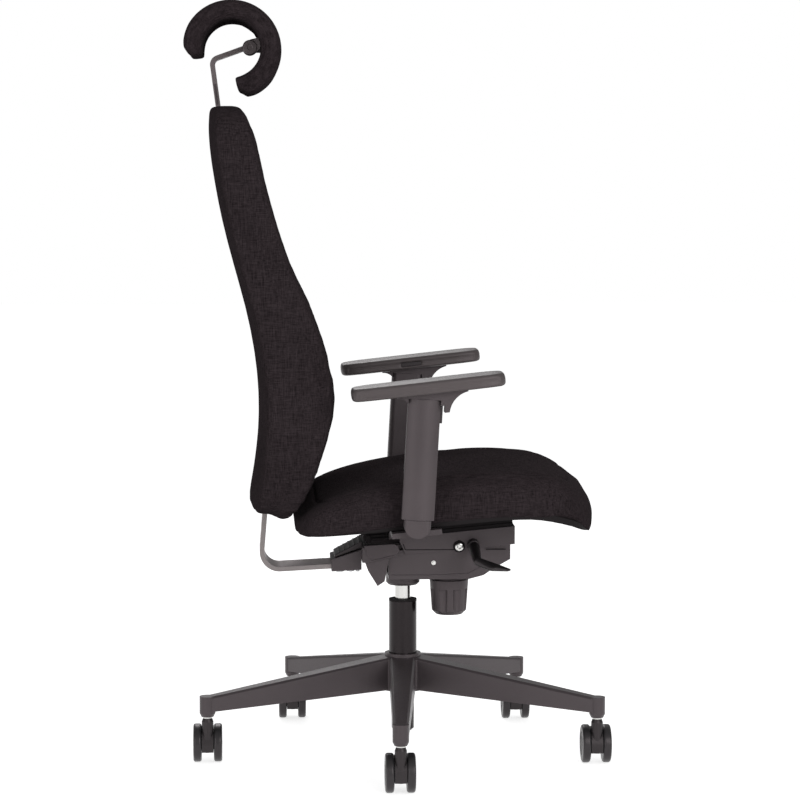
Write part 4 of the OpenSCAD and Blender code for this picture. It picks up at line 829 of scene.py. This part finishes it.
def socket_head(name, at, way, body):
    """A button head, built as rings of (radius share, height share, hexagon) from the rim into the socket."""
    bm = bmesh.new()
    side = UP.cross(way).normalized()
    up = way.cross(side).normalized()
    rings = []
    for radius, height, hexagon in BOLT_RINGS:
        ring = []
        for a in turns_of(TURN_STEPS):
            m = (a + math.pi / 6) % (math.pi / 3) - math.pi / 6
            q = BOLT_RADIUS * radius * (math.cos(math.pi / 6) / math.cos(m) if hexagon else 1)
            out = q * (math.cos(a) * side + math.sin(a) * up)
            ring.append(bm.verts.new(at + way * (BOLT_HEIGHT * height) + out))
        rings.append(ring)
    join_rings(bm, rings)
    bm.faces.new(rings[-1])
    outward(bm, way)
    return fit(piece(name, from_bmesh(name, bm), body, "chrome"))


axle_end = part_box("pivot_axle")[1][1]
for tag, sign in SIDES:
    way = Vector((0, sign, 0))
    end = Vector((SEAT_PIVOT.x, sign * axle_end, SEAT_PIVOT.z))
    socket_head("pivot_head_" + tag, end - way * 0.6 * MM, way, "lift")
    fit(lathe("pivot_washer_" + tag, WASHER, end - way * 5.4 * MM, way, "lift", "rubber"))

# On the bar clamp, a sloped plate with cross ribs, and screws from below
CLAMP_PLATE = [(-119, 345.5), (-119, 349.0), (-74, 372.5), (-71.5, 370.5), (-71.5, 362.5)]
CLAMP_SCREW = [(3.6, 0), (3.6, 3.4), (3.0, 4.2), (1.6, 4.2), (1.4, 2.6), (0, 2.6)]
slab("clamp_plate", CLAMP_PLATE, (-40, 40), "back", "black_plastic", 0.6)
for k in range(5):
    x = -112 + 8.5 * k
    z = 349.0 + (x + 119) * 23.5 / 45  # on the plate's sloped top
    rib = [(x, z - 1), (x, z + 1.1), (x + 2.2, z + 2.3), (x + 2.2, z)]
    slab("clamp_rib_%d" % (k + 1), rib, (-38, 38), "back", "black_plastic", 0.3)
for k, x in enumerate((-91, -79)):
    for tag, sign in SIDES:
        at = Vector((x, sign * 24, 323)) * MM
        fit(lathe("clamp_screw_%s_%d" % (tag, k + 1), CLAMP_SCREW, at, DOWN, "back", "steel"))

# Raised cheeks of the back carrier, ribs and end stops of the seat rails
CHEEK = [(-70, 371.5), (-20, 374.5), (-13, 371.5), (-9.5, 362), (-18, 355.5), (-57, 347), (-65, 353)]
LEDGE = [(-60, 345.2), (-58, 343.6), (-19, 352.0), (-18, 355.0)]
RAIL_STOP = [(-67, 374.5), (-66, 387), (-62, 388.5), (-59, 387), (-58, 374.5)]
for tag, sign in SIDES:
    slab("carrier_cheek_" + tag, CHEEK, (sign * 84.6, sign * 87.0), "back", "grey_plastic",
         1.0)
    slab("carrier_ledge_" + tag, LEDGE, (sign * 79.2, sign * 86.0), "back", "grey_plastic",
         0.5)
    for k in range(3):
        z = 380.5 + 5.2 * k
        rib = [(-58, z), (-58, z + 2.2), (-27, z + 3.6), (-27, z + 1.4)]
        slab("rail_rib_%s_%d" % (tag, k + 1), rib, (sign * 72.0, sign * 75.2), "seat", "rubber",
             0.5)
    slab("rail_stop_" + tag, RAIL_STOP, (sign * 66.0, sign * 75.6), "seat", "rubber", 0.7)

# A lip along the housing's lower edge
TRIM_STEP = 4 * MM
LIP = [(-0.022, 0.3185), (0.058, 0.3185), (0.108, 0.3205), (0.128, 0.331)]
lip_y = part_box("mechanism_housing")[1][1] - 0.3 * MM
for tag, sign in SIDES:
    path = dense([Vector((x, sign * lip_y, z)) for x, z in LIP], TRIM_STEP)
    fit(sweep("housing_lip_" + tag, path, 1.0 * MM, "lift", "grey_metal", sides=6))

# A near-black rubber rod along the seat carrier's lower edge, a painted shadow line for the shade under its
# flange; points from the seat pivot in mm, with room for the height lever
SHADOW_LINE = {"rear": [(-95.5, 4.5), (-91.5, -5.5), (6, -5.5)], "front": [(46, -5.5), (80, -5.5)]}
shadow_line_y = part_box("seat_carrier")[1][1] - 0.4 * MM
for tag, sign in SIDES:
    for end, points in SHADOW_LINE.items():
        corners = [Vector((SEAT_PIVOT.x + x * MM, sign * shadow_line_y, SEAT_PIVOT.z + z * MM)) for x, z in points]
        path = dense(corners, TRIM_STEP)
        line = sweep("carrier_joint_%s_%s" % (end, tag), path, 0.9 * MM, "seat", "rubber", sides=6)
        fit(line)

# At the headrest's hinge, an ear beside the bar's end and a turned cap on it
EAR = [(-264, 1208), (-268, 1215), (-266, 1221), (-259, 1226.5), (-243, 1230), (-240, 1222), (-243, 1210),
       (-252, 1203.5), (-259, 1203.5)]
HINGE_CAP = [(12.5, -1.0), (12.5, 0.8), (11.2, 2.0), (4.8, 2.2), (4.2, 1.6), (0, 1.6)]
pin_low, pin_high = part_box("headrest_pin")
hinge = (Vector(pin_low) + Vector(pin_high)) / 2
for tag, sign in SIDES:
    slab("headrest_ear_" + tag, EAR, (sign * 32.4, sign * 34.2), "headrest", "mast_paint", 0.5)
    at = Vector((hinge.x, pin_high[1] if sign > 0 else pin_low[1], hinge.z - 2.5 * MM))
    way = Vector((0, sign, 0))
    fit(lathe("headrest_hinge_cap_" + tag, HINGE_CAP, at, way, "headrest", "mast_paint"))

# Dark strips laid on the mast's sides above the backrest: painted shade in place of the slots there
MAST_FOOT, MAST_LEAN = (-314.5, 1116.0), math.radians(7.5)
SLOT_SHADE = [(-1.9, 1), (1.5, 1), (1.5, 36), (-1.9, 36)]
strip = [(MAST_FOOT[0] - up * math.sin(MAST_LEAN) + across * math.cos(MAST_LEAN),
          MAST_FOOT[1] + up * math.cos(MAST_LEAN) + across * math.sin(MAST_LEAN)) for across, up in SLOT_SHADE]
for tag, sign in SIDES:
    slab("mast_strip_" + tag, strip, (sign * 27.0, sign * 27.9), "mast", "grey_plastic", 0.2)

# A turned cap in each side of every caster's wheels
WHEEL_CAP = [(19.4, 0), (19.4, 0.9), (18.6, 1.5), (14.0, 1.7), (13.2, 1.2), (12.2, 1.2), (11.4, 1.9),
             (6.0, 2.3), (0, 2.5)]
for k in range(1, 6):
    lo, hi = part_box("caster_%d_wheels" % k)
    for tag, sign in (("a", 1), ("b", -1)):
        way = Vector((sign, 0, 0))
        at = (Vector(lo) + Vector(hi)) / 2 + way * ((hi[0] - lo[0]) / 2 - 2.0 * MM)
        cap = lathe("caster_%d_cap_%s" % (k, tag), WHEEL_CAP, at, way, "wheels_%d" % k, "black_plastic")
        fit(cap)


# Floor, world and lamps
FLOOR_SIZE, FLOOR_TONE, FLOOR_GLOW = 14, 0.86, 0.72
WORLD_LIGHT, WORLD_SEEN = 0.36, 1.0
LAMPS = (("key", (1.7, -3.6, 1.7), (0, 0, 0.6), 2.2, 60),
         ("fill", (-2.6, -3.2, 1.3), (0, 0, 0.6), 2.4, 34),
         ("rim", (-0.4, 2.6, 2.3), (0, 0, 0.8), 1.6, 24))
WHITE = (1, 1, 1, 1)


def floor():
    """A pale floor that glows in view and in reflections, so that it shows white under soft shadows."""
    bm = bmesh.new()
    bmesh.ops.create_grid(bm, x_segments=1, y_segments=1, size=FLOOR_SIZE)
    mesh = from_bmesh("floor", bm)
    obj = bpy.data.objects.new("floor", mesh)
    scene.collection.objects.link(obj)
    m = Mat("floor_paper", roughness=0.9, color=(FLOOR_TONE, FLOOR_TONE, FLOOR_TONE))
    m.set("Specular IOR Level", 0.1)
    paths = m.add("LightPath")
    seen = m.math("MAXIMUM", paths.outputs["Is Camera Ray"],
                  m.math("MAXIMUM", paths.outputs["Is Glossy Ray"], paths.outputs["Is Transmission Ray"]))
    m.set("Emission Color", WHITE)
    m.set("Emission Strength", m.math("MULTIPLY", seen, FLOOR_GLOW))
    mesh.materials.append(m.material)


def world():
    """Soft even light, with a white background for the camera."""
    w = bpy.data.worlds.new("studio")
    scene.world = w
    w.use_nodes = True
    tree = w.node_tree
    tree.nodes.clear()
    out, light, seen, mix, paths, most = [
        tree.nodes.new("ShaderNode" + kind)
        for kind in ("OutputWorld", "Background", "Background", "MixShader", "LightPath", "Math")]
    most.operation = "MAXIMUM"
    for node, strength in ((light, WORLD_LIGHT), (seen, WORLD_SEEN)):
        node.inputs[0].default_value = WHITE
        node.inputs[1].default_value = strength
    for source, target in ((paths.outputs["Is Camera Ray"], most.inputs[0]),
                           (paths.outputs["Is Transmission Ray"], most.inputs[1]),
                           (most.outputs[0], mix.inputs[0]), (light.outputs[0], mix.inputs[1]),
                           (seen.outputs[0], mix.inputs[2]), (mix.outputs[0], out.inputs["Surface"])):
        tree.links.new(source, target)


def lamp(name, at, aim, size, watts):
    data = bpy.data.lights.new(name, "AREA")
    data.shape = "DISK"
    data.size = size
    data.energy = watts
    obj = bpy.data.objects.new(name, data)
    scene.collection.objects.link(obj)
    obj.location = at
    point_at(obj, aim)


floor()
world()
for values in LAMPS:
    lamp(*values)
scene.view_settings.view_transform = "Standard"
